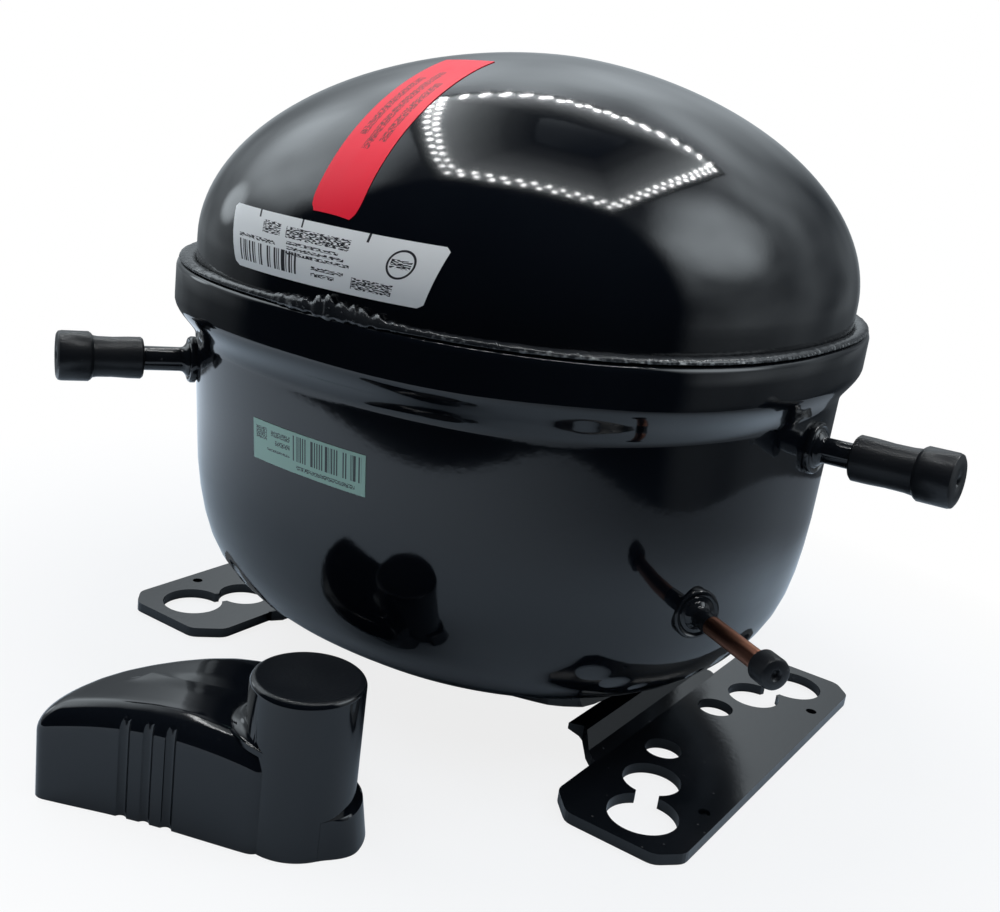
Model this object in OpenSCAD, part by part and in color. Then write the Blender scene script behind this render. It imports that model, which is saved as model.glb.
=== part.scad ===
// Hermetic reciprocating compressor, linear-motor type, for a household
// refrigerator.  Millimetres, +Z up.  The origin is the middle of the grommet
// hole pattern on the underside of the feet.  The tubes leave to the sides
// (X), the pump inside works along Y.

/* [Shell] */
// half width of the neck of the lower shell across the tubes
neck_x = 86; // [80:0.5:92]
// half length of the neck of the lower shell
neck_y = 97; // [90:0.5:102]
// half width of the flared lip
lip_x = 90.3; // [86:0.1:96]
// half length of the flared lip
lip_y = 103.4; // [100:0.1:108]
// height of the top edge of the lip
lip_z = 118.7; // [110:0.1:126]
// half width of the upper shell
dome_x = 86.1; // [82:0.1:90]
// half length of the upper shell
dome_y = 101.2; // [96:0.1:104]
// height where the upper shell starts to curve in
shoulder_z = 125.9; // [122:0.1:132]
// rise of the crown above the shoulder
crown_h = 57.4; // [50:0.1:66]
// thickness of the shell steel
wall = 3; // [2.5:0.1:3.6]
// underside of the shell above the floor
shell_low = 7.5; // [6:0.1:10]

/* [Feet] */
// grommet hole spacing across the two feet
hole_x = 165.1; // [150:0.1:180]
// grommet hole spacing along a foot
hole_y = 101.6; // [90:0.1:110]
// radius of the grommet holes
hole_r = 9.25; // [8:0.05:11]
// radius of the smaller end of each keyhole
key_r = 7.9; // [6:0.05:9]
// radius of the round hole next to each keyhole
side_r = 5.3; // [4:0.1:7]
// thickness of the foot plate
foot_t = 3; // [2.5:0.1:4]
// outer edge of the feet from the middle
foot_out = 98.5; // [94:0.5:104]
// half length of each foot
foot_half = 64.4; // [58:0.1:70]

/* [Tubes] */
// outside diameter of the suction tube
suct_d = 6.5; // [5.5:0.05:9.6]
// outside diameter of the process tube
tube_d = 7.1; // [6:0.05:9.6]
// outside diameter of the copper discharge tube
disch_d = 5; // [4:0.05:6.4]
// height of the suction tube
suct_z = 91; // [86:0.5:98]
// height of the process tube
proc_z = 90.4; // [86:0.1:98]
// height of the discharge tube
disch_z = 54.4; // [46:0.1:60]

/* [Pump] */
// height of the pump axis
axis_z = 96; // [94:0.5:98]
// cylinder bore
bore_d = 26; // [22:0.5:30]
// radial clearance of the piston in its bore
piston_gap = 0.03; // [0.01:0.01:0.1]
// outside radius of the outer stator
stator_r = 54; // [50:0.5:56]
// outside radius of the pump frame plate
frame_r = 60; // [58:0.5:62]

/* [Terminal cover] */
// height of the low box of the cover
cover_h = 28.2; // [24:0.1:32]
// height of the round tower of the cover
tower_h = 40; // [38:0.5:52]
// radius of the tower
tower_r = 13.3; // [10:0.1:15]
// wall thickness of the cover
cover_t = 2; // [1.5:0.1:2.6]

/* [Hidden] */
$fn = 64;
rim_n = 64;
eps = 0.01;
seat_z = 109.2;
top_z = shoulder_z + crown_h;
bore_r = bore_d / 2;
piston_r = bore_r - piston_gap;
bolt_r = stator_r + 2.2;
bolt_q = [22.5, 157.5, 202.5, 337.5];
cov_x = -29; cov_y = -148.5; cov_a = 21.1;

// piece to show, or "all"

function spow(v, p) = sign(v) * pow(abs(v), p);
// one closed loop of the egg-shaped shell
function ring(a, b, n, z) = [for (i = [0:rim_n - 1]) let (t = 360 * i / rim_n)
  [a * spow(cos(t), 2 / n), b * spow(sin(t), 2 / n), z]];
function low_s(z, p) = let (t = max(0, (100.5 - z) / (100.5 - shell_low + 0.2)))
  pow(1 - pow(t, p), 1 / 1.3);
function low_n(z) = z > 60 ? 2.4 : z > 20 ? 2.4 - 0.25 * (60 - z) / 40 : 2.15;
function low_a(z, d) = neck_x * low_s(z, 8.4) - d;
function low_b(z, d) = (neck_y - 0.12 * (100.5 - z)) * low_s(z, 7.6) - d;
lows = [0, 2, 5, 9, 14, 20, 28, 38, 50, 64, 78, 92.5];
function low_ring(z, d) = ring(low_a(z, d), low_b(z, d), low_n(z), z);
// crown: half widths shrink as the shell rises to its pole
function crown_g(h) = pow(1 - pow(h, 1.95), 1 / 1.86);
crowns = [0, 0.12, 0.25, 0.38, 0.5, 0.62, 0.73, 0.82, 0.89, 0.94, 0.975, 0.995];

// closes a run of loops into one solid
module skin(rings) {
  n = len(rings[0]); m = len(rings);
  polyhedron(points = [for (r = rings) for (p = r) p],
    faces = concat([[for (i = [0:n - 1]) i]],
      [for (k = [0:m - 2]) for (i = [0:n - 1]) let (j = (i + 1) % n)
        [k * n + i, (k + 1) * n + i, (k + 1) * n + j]],
      [for (k = [0:m - 2]) for (i = [0:n - 1]) let (j = (i + 1) % n)
        [k * n + i, (k + 1) * n + j, k * n + j]],
      [[for (i = [n - 1:-1:0]) (m - 1) * n + i]]), convexity = 8);
}
// closes a run of loops round on itself like a tyre
module hoop(rings) {
  n = len(rings[0]); m = len(rings);
  polyhedron(points = [for (r = rings) for (p = r) p],
    faces = concat(
      [for (k = [0:m - 1]) for (i = [0:n - 1]) let (j = (i + 1) % n, q = (k + 1) % m)
        [k * n + i, q * n + i, q * n + j]],
      [for (k = [0:m - 1]) for (i = [0:n - 1]) let (j = (i + 1) % n, q = (k + 1) % m)
        [k * n + i, q * n + j, k * n + j]]), convexity = 8);
}
// cylinder lying along Y from y0 to y1
module yc(r, y0, y1) translate([0, y0, 0]) rotate([-90, 0, 0]) cylinder(r = r, h = y1 - y0);
module yring(ro, ri, y0, y1) difference() { yc(ro, y0, y1); yc(ri, y0 - 1, y1 + 1); }
module onaxis() translate([0, 0, axis_z]) children();
// copies round the pump axis at radius r
module round_y(r, angles) for (q = angles)
  translate([r * cos(q), 0, r * sin(q)]) children();
// open coil of round wire standing on Z
module helix(rm, rw, h, turns) {
  k = ceil(turns * 10);
  skin([for (i = [0:k]) let (t = 360 * turns * i / k, z = rw + (h - 2 * rw) * i / k)
    [for (c = [0:5]) let (r = rm + rw * cos(60 * c))
      [r * cos(t), r * sin(t), z - rw * sin(60 * c)]]]);
}
// outside of the lower shell as one solid, grown by g
module shell_block(g) skin([for (h = lows) ring(low_a(shell_low + h, -g), low_b(shell_low + h, -g),
  low_n(shell_low + h), shell_low + h - (h < 20 ? g : 0))]);
// hollow of the lower shell as one solid
module shell_hollow() skin([for (h = lows) low_ring_in(h)]);
function low_ring_in(h) = ring(max(6, low_a(shell_low + h, wall)),
  max(6, low_b(shell_low + h, wall)), low_n(shell_low + h),
  shell_low + h + (h < 20 ? wall * (1 - h / 20) + 0.2 : 0));

// ---- pressed and welded shell ----
module upper_shell() color([0.06, 0.06, 0.07]) difference() {
  skin(concat([ring(dome_x, dome_y, 2.26, seat_z)],
    [for (h = crowns) ring(dome_x * crown_g(h), dome_y * crown_g(h), 2.26,
      shoulder_z + crown_h * h)]));
  skin(concat([ring(dome_x - wall, dome_y - wall, 2.26, seat_z - 1)],
    [for (h = crowns) ring((dome_x - wall) * crown_g(h), (dome_y - wall) * crown_g(h), 2.26,
      shoulder_z + (crown_h - wall) * h)]));
}
module lower_shell() color([0.06, 0.06, 0.07]) difference() {
  skin(concat([for (h = lows) low_ring(shell_low + h, 0)],
    [ring(lip_x, lip_y, 2.4, 109.5), ring(lip_x, lip_y, 2.4, lip_z),
     ring(dome_x, dome_y, 2.26, lip_z), ring(dome_x, dome_y, 2.26, seat_z),
     ring(dome_x - wall - 0.2, dome_y - wall - 0.4, 2.26, seat_z)],
    [for (i = [len(lows) - 1:-1:0]) low_ring_in(lows[i])]));
  at_suction() cylinder(d = 10, h = 24, center = true);
  at_process() cylinder(d = 10, h = 24, center = true);
  at_discharge() cylinder(d = 9, h = 24, center = true);
  translate([0, 100, 66]) rotate([90, 0, 0]) cylinder(r = 17, h = 24);
}
module weld_bead() color([0.2, 0.2, 0.2]) hoop([
  ring(dome_x, dome_y, 2.26, lip_z), ring(lip_x - 0.5, lip_y - 0.3, 2.4, lip_z),
  ring(dome_x + 2.4, dome_y + 1.5, 2.33, lip_z + 1.9), ring(dome_x, dome_y, 2.26, lip_z + 3.2)]);

// frames of the three tubes: local Z points out of the shell
module at_suction() translate([-58.8, -77.4, suct_z]) rotate([0, 90, -122]) children();
module at_process() translate([85.8, 11.3, proc_z]) rotate([0, 87.5, -2.5]) children();
module at_discharge() translate([80.9, -38.6, disch_z]) rotate([0, 88, -34]) children();
module pipe(d, t, z0, z1) translate([0, 0, z0]) difference() {
  cylinder(d = d, h = z1 - z0);
  translate([0, 0, -1]) cylinder(d = d - 2 * t, h = z1 - z0 + 2);
}
module suction_stub() color([0.07, 0.07, 0.08]) at_suction() pipe(suct_d, 0.9, -10, 31.4);
module process_stub() color([0.07, 0.07, 0.08]) at_process() pipe(tube_d, 0.9, -10, 35);
module discharge_stub() color([0.72, 0.43, 0.32]) at_discharge() pipe(disch_d, 0.8, -9.4, 32.8);
// turned washer with a spigot through the shell and a braze neck
module collar(d, di, r) difference() {
  union() {
    translate([0, 0, 0.3]) cylinder(r = r, h = 2.1);
    translate([0, 0, 2.4]) cylinder(d = di + 3, h = 1.8);
  }
  translate([0, 0, -5]) cylinder(d = di, h = 12);
}
module spigot(d, di) translate([0, 0, -3.4]) difference() {
  cylinder(d = d - 0.02, h = 5);
  translate([0, 0, -1]) cylinder(d = di, h = 7);
}
module stub_collars() color([0.1, 0.1, 0.11]) {
  difference() {
    union() {
      at_suction() collar(10, suct_d, 6.3);
      at_process() collar(10, tube_d, 7.2);
      at_discharge() collar(9, disch_d, 6.5);
    }
    skin(concat([for (h = lows) low_ring(shell_low + h, -0.02)],
      [ring(lip_x + 0.02, lip_y + 0.02, 2.4, 109.5), ring(lip_x + 0.02, lip_y + 0.02, 2.4, lip_z)]));
  }
  at_suction() spigot(10, suct_d);
  at_process() spigot(10, tube_d);
  at_discharge() spigot(9, disch_d);
}
// push-on transport cap: sleeve over the tube and a thicker end ring
module cap(tube, d, ring_d, z0, z1, ring_h) difference() {
  union() {
    translate([0, 0, z0]) cylinder(d = d, h = z1 - z0 - ring_h + 1);
    translate([0, 0, z1 - ring_h]) rotate_extrude() polygon([[0, 0], [ring_d / 2 - 0.5, 0],
      [ring_d / 2, 0.5], [ring_d / 2, ring_h - 0.9], [ring_d / 2 - 0.9, ring_h], [0, ring_h]]);
  }
  translate([0, 0, z0 - 1]) cylinder(d = tube + 0.04, h = z1 - z0 - 2.4);
  translate([0, 0, z1 - 1.2]) cylinder(d = 2.2, h = 3);
}
module suction_cap() color([0.09, 0.09, 0.09]) at_suction() cap(suct_d, 11.3, 13.2, 14.3, 36, 8.3);
module process_cap() color([0.09, 0.09, 0.09]) at_process() cap(tube_d, 12.6, 14.7, 12.3, 39.5, 9.3);
module discharge_cap() color([0.09, 0.09, 0.09]) at_discharge() cap(disch_d, 7.8, 7.8, 30.4, 36.4, 4);

// ---- feet ----
// polygon with its corners eased by arcs of about radius r
function eased(pts, r) = let (n = len(pts)) [for (i = [0:n - 1]) let (a = pts[(i + n - 1) % n],
  b = pts[i], c = pts[(i + 1) % n], u = (a - b) / norm(a - b), w = (c - b) / norm(c - b),
  t = r / tan(acos(u * w) / 2), p = b + u * t, q = b + w * t)
  each [for (k = [0, 0.33, 0.67, 1]) (1 - k) * (1 - k) * p + 2 * k * (1 - k) * b + k * k * q]];
module foot() difference() {
  union() {
    linear_extrude(foot_t) polygon(eased([[61, -57], [68, -foot_half], [93, -foot_half],
      [foot_out, -58.5], [foot_out, 58.5], [93, foot_half], [68, foot_half], [61, 57]], 4.5));
    // web rising to the shell and the saddle pressed to its underside
    intersection() {
      translate([0, 38, 0]) rotate([90, 0, 0]) linear_extrude(76) polygon([[61.5, 0],
        [61.5, foot_t], [58, foot_t + 1.4], [50, 20], [26, 20], [26, 5.2], [30, 5.4], [40, 8],
        [46, 9.4], [53, 5.6], [57, 1]]);
      linear_extrude(30) polygon([[70, -38], [60, -38], [54, -33.5], [44, -38], [32, -38],
        [26, -30], [26, 30], [32, 38], [44, 38], [54, 33.5], [60, 38], [70, 38]]);
      union() {
        translate([50, -50, 0]) cube([14, 100, 9]);
        shell_block(3);
      }
    }
  }
  shell_block(0);
  for (s = [-1, 1]) {
    translate([hole_x / 2, s * hole_y / 2, -1]) cylinder(r = hole_r, h = 20);
    translate([76.5, s * 34.3, -1]) cylinder(r = key_r, h = 20);
    translate([79.1, s * 41.8, 3]) rotate([0, 0, -s * 20]) cube([6.1, 8, 20], center = true);
    translate([71.3, s * 17.3, -1]) cylinder(r = side_r, h = 20);
    translate([93.9, s * 38.5, -1]) cylinder(r = 1.6, h = 20);
  }
}
module foot_right() color([0.06, 0.06, 0.07]) foot();
module foot_left() color([0.06, 0.06, 0.07]) mirror([1, 0, 0]) foot();

// ---- labels: thin skins lying on the shell ----
function dome_at(x, z, d) = let (h = max(0, (z - shoulder_z) / crown_h), g = crown_g(h) + d / 100,
  q = 1 - pow(abs(x) / (dome_x * g), 2.26)) [x, -dome_y * g * pow(q, 1 / 2.26), z];
// thin sheet between an outer and an inner grid of points
module patch(f0, f1) {
  c = len(f0[0]); r = len(f0); n = c * r;
  across = [for (i = [0:c - 2]) i]; up = [for (k = [0:r - 2]) k];
  polyhedron(points = concat([for (q = f0) for (p = q) p], [for (q = f1) for (p = q) p]), faces = concat(
    [for (k = up) for (i = across) let (a = k * c + i) each [[a, a + c, a + c + 1], [a, a + c + 1, a + 1],
      [n + a, n + a + c + 1, n + a + c], [n + a, n + a + 1, n + a + c + 1]]],
    [for (i = across) let (b = (r - 1) * c + i) each [[i, i + 1, n + i + 1], [i, n + i + 1, n + i],
      [b + 1, b, n + b], [b + 1, n + b, n + b + 1]]],
    [for (k = up) let (a = k * c, b = a + c - 1) each [[a + c, a, n + a], [a + c, n + a, n + a + c],
      [b, b + c, n + b + c], [b, n + b + c, n + b]]]), convexity = 4);
}
function rate_row(z, d) = let (x0 = -23.4 - (z - 124.6) * 0.5, x1 = 30.5 + (z - 124.6) * 0.22)
  [for (i = [0:12]) dome_at(x0 + (x1 - x0) * i / 12, z, d)];
module rating_label() color([0.9, 0.9, 0.88]) patch(
  [for (k = [0:4]) rate_row(124.6 + 13 * k / 4, 0.3)],
  [for (k = [0:4]) rate_row(124.6 + 13 * k / 4, 0.06)]);
function low_at(x, z, d) = [x, -(low_b(z, -d)) * pow(1 - pow(abs(x) / low_a(z, -d), low_n(z)),
  1 / low_n(z)), z];
module serial_label() color([0.62, 0.82, 0.74]) patch(
  [for (k = [0:3]) [for (i = [0:8]) low_at(-18.6 + 36 * i / 8, 77 + 10.2 * k / 3, 0.35)]],
  [for (k = [0:3]) [for (i = [0:8]) low_at(-18.6 + 36 * i / 8, 77 + 10.2 * k / 3, 0.1)]]);
function crown_at(x, y, d) = let (g = pow(pow(abs(x) / dome_x, 2.26) + pow(abs(y) / dome_y, 2.26),
  1 / 2.26)) [x, y, shoulder_z + crown_h * pow(1 - pow(g, 1.86), 1 / 1.95) + d];
function strip_row(k, d) = let (y = -97.2 + 57.2 * k / 12, m = 3.2 - 9.2 * k / 12)
  [for (i = [0:4]) crown_at(m - 6.9 + 13.8 * i / 4, y, d + (k == 0 ? 0.5 : 0))];
module notice_label() color([0.85, 0.1, 0.12]) patch(
  [for (k = [0:12]) strip_row(k, 0.45)], [for (k = [0:12]) strip_row(k, 0.15)]);

// ---- electrical terminal in the back wall ----
module at_terminal() translate([0, 0, 66]) children();
module terminal_cup() color([0.55, 0.55, 0.56]) at_terminal() difference() {
  union() { yc(17, 86.5, 95.5); }
  yc(15.4, 91, 97);
  yc(15.4, 80, 88.6);
  for (q = [90, 210, 330]) translate([8 * cos(q), 0, 8 * sin(q)]) yc(3.4, 80, 99);
}
module terminal_glass() color([0.3, 0.42, 0.5]) at_terminal() for (q = [90, 210, 330])
  translate([8 * cos(q), 0, 8 * sin(q)]) yring(3.4, 1.6, 88.2, 91.6);
module terminal_pins() color([0.75, 0.72, 0.66]) at_terminal() for (q = [90, 210, 330])
  translate([8 * cos(q), 0, 8 * sin(q)]) yc(1.6, 79, 102);
module terminal_fence() color([0.09, 0.09, 0.1]) difference() {
  union() {
    at_terminal() difference() {
      translate([-34, 84, -21]) cube([68, 24, 42]);
      translate([-32.4, 80, -19.4]) cube([64.8, 40, 38.8]);
      for (s = [-1, 1]) translate([s * 34 - 3, 101, -6]) cube([6, 4, 12]);
    }
    translate([44, 70, 66]) rotate([-90, 0, 0]) cylinder(d = 10, h = 20);
  }
  shell_block(0);
  translate([44, 80, 66]) rotate([-90, 0, 0]) cylinder(d = 4, h = 20);
}
module earth_screw() color([0.75, 0.62, 0.25]) translate([44, 90, 66]) rotate([-90, 0, 0])
  difference() {
    union() {
      translate([0, 0, -4.4]) cylinder(d = 4, h = 5);
      cylinder(d = 8, h = 0.8);
      translate([0, 0, 0.8]) rotate_extrude() polygon([[0, 0], [3.6, 0], [3.6, 1], [2.6, 2.2], [0, 2.2]]);
    }
    for (q = [0, 90]) rotate([0, 0, q]) translate([-2.2, -0.4, 2]) cube([4.4, 0.8, 2]);
  }

// ---- terminal cover, standing loose on its rim ----
tow = [61.4, 13.3]; cmid = [33, 20];
cover_plan = [[0, 3], [0.8, 0.9], [2.6, 0], [8, 0.25], [14, 0.6], [20, 0.95], [28, 1.1], [36, 0.9],
  [44, 0.5], [52, 0.1], [55.6, 0], [57, 0.5], [58, 2], [62, 6], [65, 12], [66, 20], [66, 28],
  [65.5, 35], [62, 39.5], [55, 41.8], [48, 42.2], [41, 41.5], [34, 39.4], [27, 35.8], [20, 31],
  [14, 26.4], [8.5, 21.4], [4, 15.6], [1.2, 9.6], [0.2, 6]];
// height of the cover's roof: a low vault, highest in its middle
function roof(q) = cover_h - 6 * pow((q[0] - 34) / 36, 2);
function plan_in(q, d) = [cmid[0] + (q[0] - cmid[0]) * (1 - d / 33), cmid[1] + (q[1] - cmid[1]) * (1 - d / 20)];
function cover_ring(d, drop) = [for (q = cover_plan) let (p = plan_in(q, d)) [p[0], p[1], roof(p) - drop]];
module cover_box(d, low, r) skin(concat([[for (q = cover_plan) let (p = plan_in(q, d)) [p[0], p[1], low]]],
  [for (w = [0, 25, 50, 75, 90]) cover_ring(d + r * (1 - cos(w)), d + r * (1 - sin(w)))],
  [for (k = [10, 15]) cover_ring(d + r + k, d)],
  [[for (q = cover_plan) let (p = plan_in(q, 19.5)) [p[0], p[1], roof(cmid) - d]]]));
module at_cover() translate([cov_x, cov_y, 0]) rotate([0, 0, cov_a]) children();
module at_tower() translate([tow[0], tow[1], 0]) children();
module terminal_cover() color([0.05, 0.05, 0.06]) at_cover() difference() {
  union() {
    cover_box(0, 0, 6);
    at_tower() cylinder(r = tower_r, h = tower_h - 1.6);
    at_tower() translate([0, 0, tower_h - 1.6]) cylinder(r1 = tower_r, r2 = tower_r - 1.3, h = 1.6);
    at_tower() intersection() {
      cylinder(r1 = 16.6, r2 = 14.9, h = 10);
      linear_extrude(12) polygon([[0, 0], [14, -14], [20, -10], [20, 8], [14, 14]]);
    }
  }
  cover_box(cover_t, -1, 4);
  at_tower() translate([0, 0, -1]) cylinder(r = tower_r - cover_t, h = tower_h - cover_t + 1);
  // three grooves moulded in the front wall
  for (u = [23.2, 29, 34.6]) translate([u, 0.35, -1]) cylinder(r = 1.6, h = 40);
  // rim rises in a shallow arch between its resting points
  translate([30, -5, -298.5]) rotate([-90, 0, 0]) cylinder(r = 300, h = 40, $fn = 180);
}

// ---- suspension ----
spring_xy = [[-30, -42], [30, -42], [-30, 42], [30, 42]];
module spring_seats() color([0.42, 0.42, 0.44]) for (p = spring_xy) intersection() {
  translate([p[0], p[1], 5]) union() {
    cylinder(r = 10, h = 17);
    cylinder(r = 5.4, h = 23);
  }
  union() { shell_hollow(); translate([-50, -60, 21]) cube([100, 120, 20]); }
}
module suspension_springs() color([0.5, 0.5, 0.52]) for (p = spring_xy)
  translate([p[0], p[1], 22.02]) helix(7.2, 0.9, 16.4, 4.5);
module pump_sole() color([0.46, 0.46, 0.48]) difference() {
  union() {
    translate([-36, -48, 38.5]) cube([72, 96, 3]);
    for (p = spring_xy) translate([p[0], p[1], 33]) cylinder(r = 5.4, h = 6);
  }
  translate([-18, -28, 30]) cube([36, 34, 20]);
  for (x = [-15, 15]) for (y = [-35, 16.5]) translate([x, y, 30]) cylinder(r = 1.5, h = 20);
}
module sole_screws() color([0.6, 0.6, 0.62]) for (x = [-15, 15]) for (y = [-35, 16.5]) {
  translate([x, y, 36.1]) cylinder(r = 3.1, h = 2.4, $fn = 6);
  translate([x, y, 38.4]) cylinder(r = 1.5, h = 6.6);
}

// ---- compressor frame and cylinder ----
module pump_frame() color([0.62, 0.63, 0.65]) difference() {
  onaxis() difference() {
    union() {
      yc(frame_r, 13, 20);
      yring(18, 15.5, -30, 20);
      yring(34, 27, 20, 22);
    }
    yc(15.5, -40, 40);
    round_y(46, [45, 135, 225, 315]) yc(5.5, 10, 30);
    round_y(bolt_r, bolt_q) yc(1.5, 10, 30);
    round_y(30.5, [0, 60, 120, 180, 240, 300]) yc(1.7, 14, 30);
  }
  translate([-80, -60, 30]) cube([160, 120, 11.5]);
  for (x = [-15, 15]) translate([x, 16.5, 38]) cylinder(r = 1.5, h = 7.5);
}
module cylinder_sleeve() color([0.5, 0.5, 0.52]) onaxis() difference() {
  union() { yc(15.5, -30, 30); yc(17, 20, 23); }
  yc(bore_r, -40, 40);
}
module discharge_valve() color([0.85, 0.83, 0.74]) onaxis() difference() {
  union() { yc(14.6, 30, 31.6); yc(8.2, 31.6, 33.4); }
  yring(7.2, 4.4, 32.6, 34);
}
module valve_spring() color([0.6, 0.6, 0.62]) translate([0, 31.62, axis_z]) rotate([-90, 0, 0])
  helix(9.6, 0.6, 16, 3.5);
module discharge_cover() color([0.66, 0.66, 0.67]) onaxis() difference() {
  union() {
    yring(34, 22, 22, 24.5);
    rotate([-90, 0, 0]) rotate_extrude() polygon([[0, 24.5], [25, 24.5], [25, 42], [23.4, 46.5],
      [19, 49.7], [0, 50.2]]);
    translate([20, 36, 0]) rotate([0, 90, 0]) cylinder(r = 4.6, h = 10);
  }
  yc(22, 20, 41);
  yc(19, 40, 47.7);
  translate([0, 36, 0]) rotate([0, 90, 0]) cylinder(r = 2.5, h = 60);
  round_y(30.5, [0, 60, 120, 180, 240, 300]) yc(1.7, 14, 30);
}
module cover_screws() color([0.6, 0.6, 0.62]) onaxis() round_y(30.5, [0, 60, 120, 180, 240, 300]) {
  yc(1.7, 15, 24.5);
  translate([0, 24.5, 0]) rotate([-90, 0, 0]) cylinder(r = 3.1, h = 2.2, $fn = 6);
}
// thin tube looping from the discharge cover to the shell outlet
module bend(r, a) rotate_extrude(angle = a) translate([r, 0]) difference() {
  circle(d = disch_d); circle(d = disch_d - 1.6);
}
module run(h) difference() {
  cylinder(d = disch_d, h = h);
  translate([0, 0, -1]) cylinder(d = disch_d - 1.6, h = h + 2);
}
module discharge_loop() color([0.72, 0.43, 0.32]) {
  translate([22, 36, axis_z]) rotate([0, 90, 0]) run(36.4);
  translate([58.4, 36, axis_z - 10]) rotate([90, 0, 0]) mirror([1, 0, 0]) rotate([0, 0, 90]) bend(10, 90);
  translate([68.4, 36, 64]) run(axis_z - 74);
  translate([68.4, 26, 64]) rotate([0, 90, 0]) mirror([0, 0, 0]) rotate([0, 0, 0]) bend(10, 90);
  translate([68.4, 26, 54]) rotate([90, 0, 0]) run(50.85);
  translate([78.4, -24.85, 54]) rotate([0, 0, 180]) bend(10, 56);
}

// ---- linear motor ----
module inner_stator() color([0.35, 0.35, 0.38]) onaxis() difference() {
  yring(30, 18, -30, 10);
  for (q = [0:30:330]) rotate([0, q, 0]) translate([-0.4, -31, 26]) cube([0.8, 42, 6]);
}
module outer_stator() color([0.32, 0.32, 0.35]) onaxis() rotate([-90, 0, 0])
  for (q = [0:45:315]) rotate([0, 0, q - 16]) rotate_extrude(angle = 32) polygon([[36, -33],
    [stator_r, -33], [stator_r, 13], [36, 13], [36, -6], [41, -6], [41, 2], [50, 2], [50, -22],
    [41, -22], [41, -14], [36, -14]]);
module coil_bobbin() color([0.85, 0.84, 0.78]) onaxis() difference() {
  yring(50, 41, -22, 2);
  yring(51, 42.2, -20.8, 0.8);
}
module coil() color([0.72, 0.38, 0.2]) onaxis() yring(49.6, 42.2, -20.8, 0.8);
module stator_cover() color([0.5, 0.5, 0.53]) difference() {
  onaxis() difference() {
    yring(frame_r, 37, -37, -33);
    round_y(bolt_r, bolt_q) yc(1.5, -40, -30);
    round_y(46, [0, 90, 180]) yc(2, -40, -30);
  }
  translate([-80, -60, 30]) cube([160, 120, 11.5]);
  for (x = [-15, 15]) translate([x, -35, 38]) cylinder(r = 1.5, h = 7.5);
}
module stator_bolts() color([0.6, 0.6, 0.62]) onaxis() round_y(bolt_r, bolt_q) {
  yc(1.5, -39, 22);
  translate([0, -39.4, 0]) rotate([-90, 0, 0]) cylinder(r = 3.2, h = 2.4, $fn = 6);
  translate([0, 20, 0]) rotate([-90, 0, 0]) cylinder(r = 3.2, h = 2.4, $fn = 6);
}
module back_cover() color([0.5, 0.5, 0.53]) onaxis() difference() {
  union() {
    yc(30, -76, -73);
    for (q = [45, 135, 225, 315]) rotate([0, -q, 0]) translate([0, -76, -11]) cube([50, 3, 22]);
    for (q = [0, 90, 180]) rotate([0, -q, 0]) translate([0, -76, -6]) cube([51, 3, 12]);
  }
  yc(8.5, -80, -70);
  round_y(46, [0, 90, 180]) yc(2, -80, -70);
}
module back_posts() color([0.6, 0.6, 0.62]) onaxis() round_y(46, [0, 90, 180]) {
  yc(3.4, -73, -37);
  yc(2, -76, -33);
  translate([0, -78.6, 0]) rotate([-90, 0, 0]) cylinder(r = 3.6, h = 2.6, $fn = 6);
}
module suction_guide() color([0.14, 0.14, 0.15]) onaxis() difference() {
  union() {
    yc(7, -79, -63);
    yc(8.5, -78, -73.5);
    yc(13, -78.5, -76);
  }
  yc(5.6, -90, -60);
}

// ---- moving assembly ----
module piston() color([0.68, 0.69, 0.7]) onaxis() difference() {
  union() { yc(piston_r, -38, 23); yc(20, -40, -37); }
  yc(10.4, -45, 19.5);
  for (q = [30:60:330]) translate([8 * cos(q), 0, 8 * sin(q)]) yc(1.5, 15, 30);
  yc(1.2, 10, 30);
  round_y(16, [0, 120, 240]) yc(1.5, -50, -30);
}
module suction_reed() color([0.75, 0.75, 0.76]) onaxis() difference() {
  yc(11.4, 23, 23.3);
  yc(1.2, 20, 30);
  for (q = [0:120:240]) rotate([0, q, 0]) translate([-0.5, 20, 4]) cube([1, 6, 9]);
}
module reed_screw() color([0.5, 0.5, 0.5]) onaxis() {
  yc(1.2, 16.5, 23.3);
  yc(2.6, 23.3, 23.9);
}
module magnet_frame() color([0.42, 0.42, 0.45]) onaxis() difference() {
  union() {
    yring(33, 31, -43, 6);
    yring(33, 12, -43, -40);
  }
  for (q = [30:60:330]) translate([25.5 * cos(q), 0, 25.5 * sin(q)]) yc(3.6, -50, -36);
  round_y(16, [0, 120, 240]) yc(1.5, -50, -30);
}
module magnets() color([0.22, 0.22, 0.24]) onaxis() rotate([-90, 0, 0]) for (q = [0:45:315])
  rotate([0, 0, q - 20]) rotate_extrude(angle = 40) translate([33, -22]) square([2.1, 26]);
module spring_supporter() color([0.48, 0.48, 0.5]) onaxis() difference() {
  union() {
    yring(26, 12.2, -57, -54);
    for (q = [45, 135, 225, 315]) rotate([0, -q, 0]) translate([20, -57, -10]) cube([35, 3, 20]);
    yring(20, 12.2, -54.01, -43);
  }
  for (q = [0, 90, 180, 270]) rotate([0, -q, 0]) translate([22, -60, -3]) cube([8, 10, 6]);
  round_y(16, [0, 120, 240]) yc(1.5, -60, -30);
}
module supporter_screws() color([0.6, 0.6, 0.62]) onaxis() round_y(16, [0, 120, 240]) {
  yc(1.5, -57, -37);
  translate([0, -58.6, 0]) rotate([-90, 0, 0]) cylinder(r = 2.8, h = 1.6, $fn = 6);
}
module suction_muffler() color([0.2, 0.2, 0.22]) onaxis() difference() {
  union() {
    yc(12.2, -65, -45);
    yc(9.6, -45, 8);
  }
  yc(10.8, -63.6, -46.4);
  yc(8.2, -70, -60);
  yc(8.2, -50, 4);
  yc(3, 0, 10);
}
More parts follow.
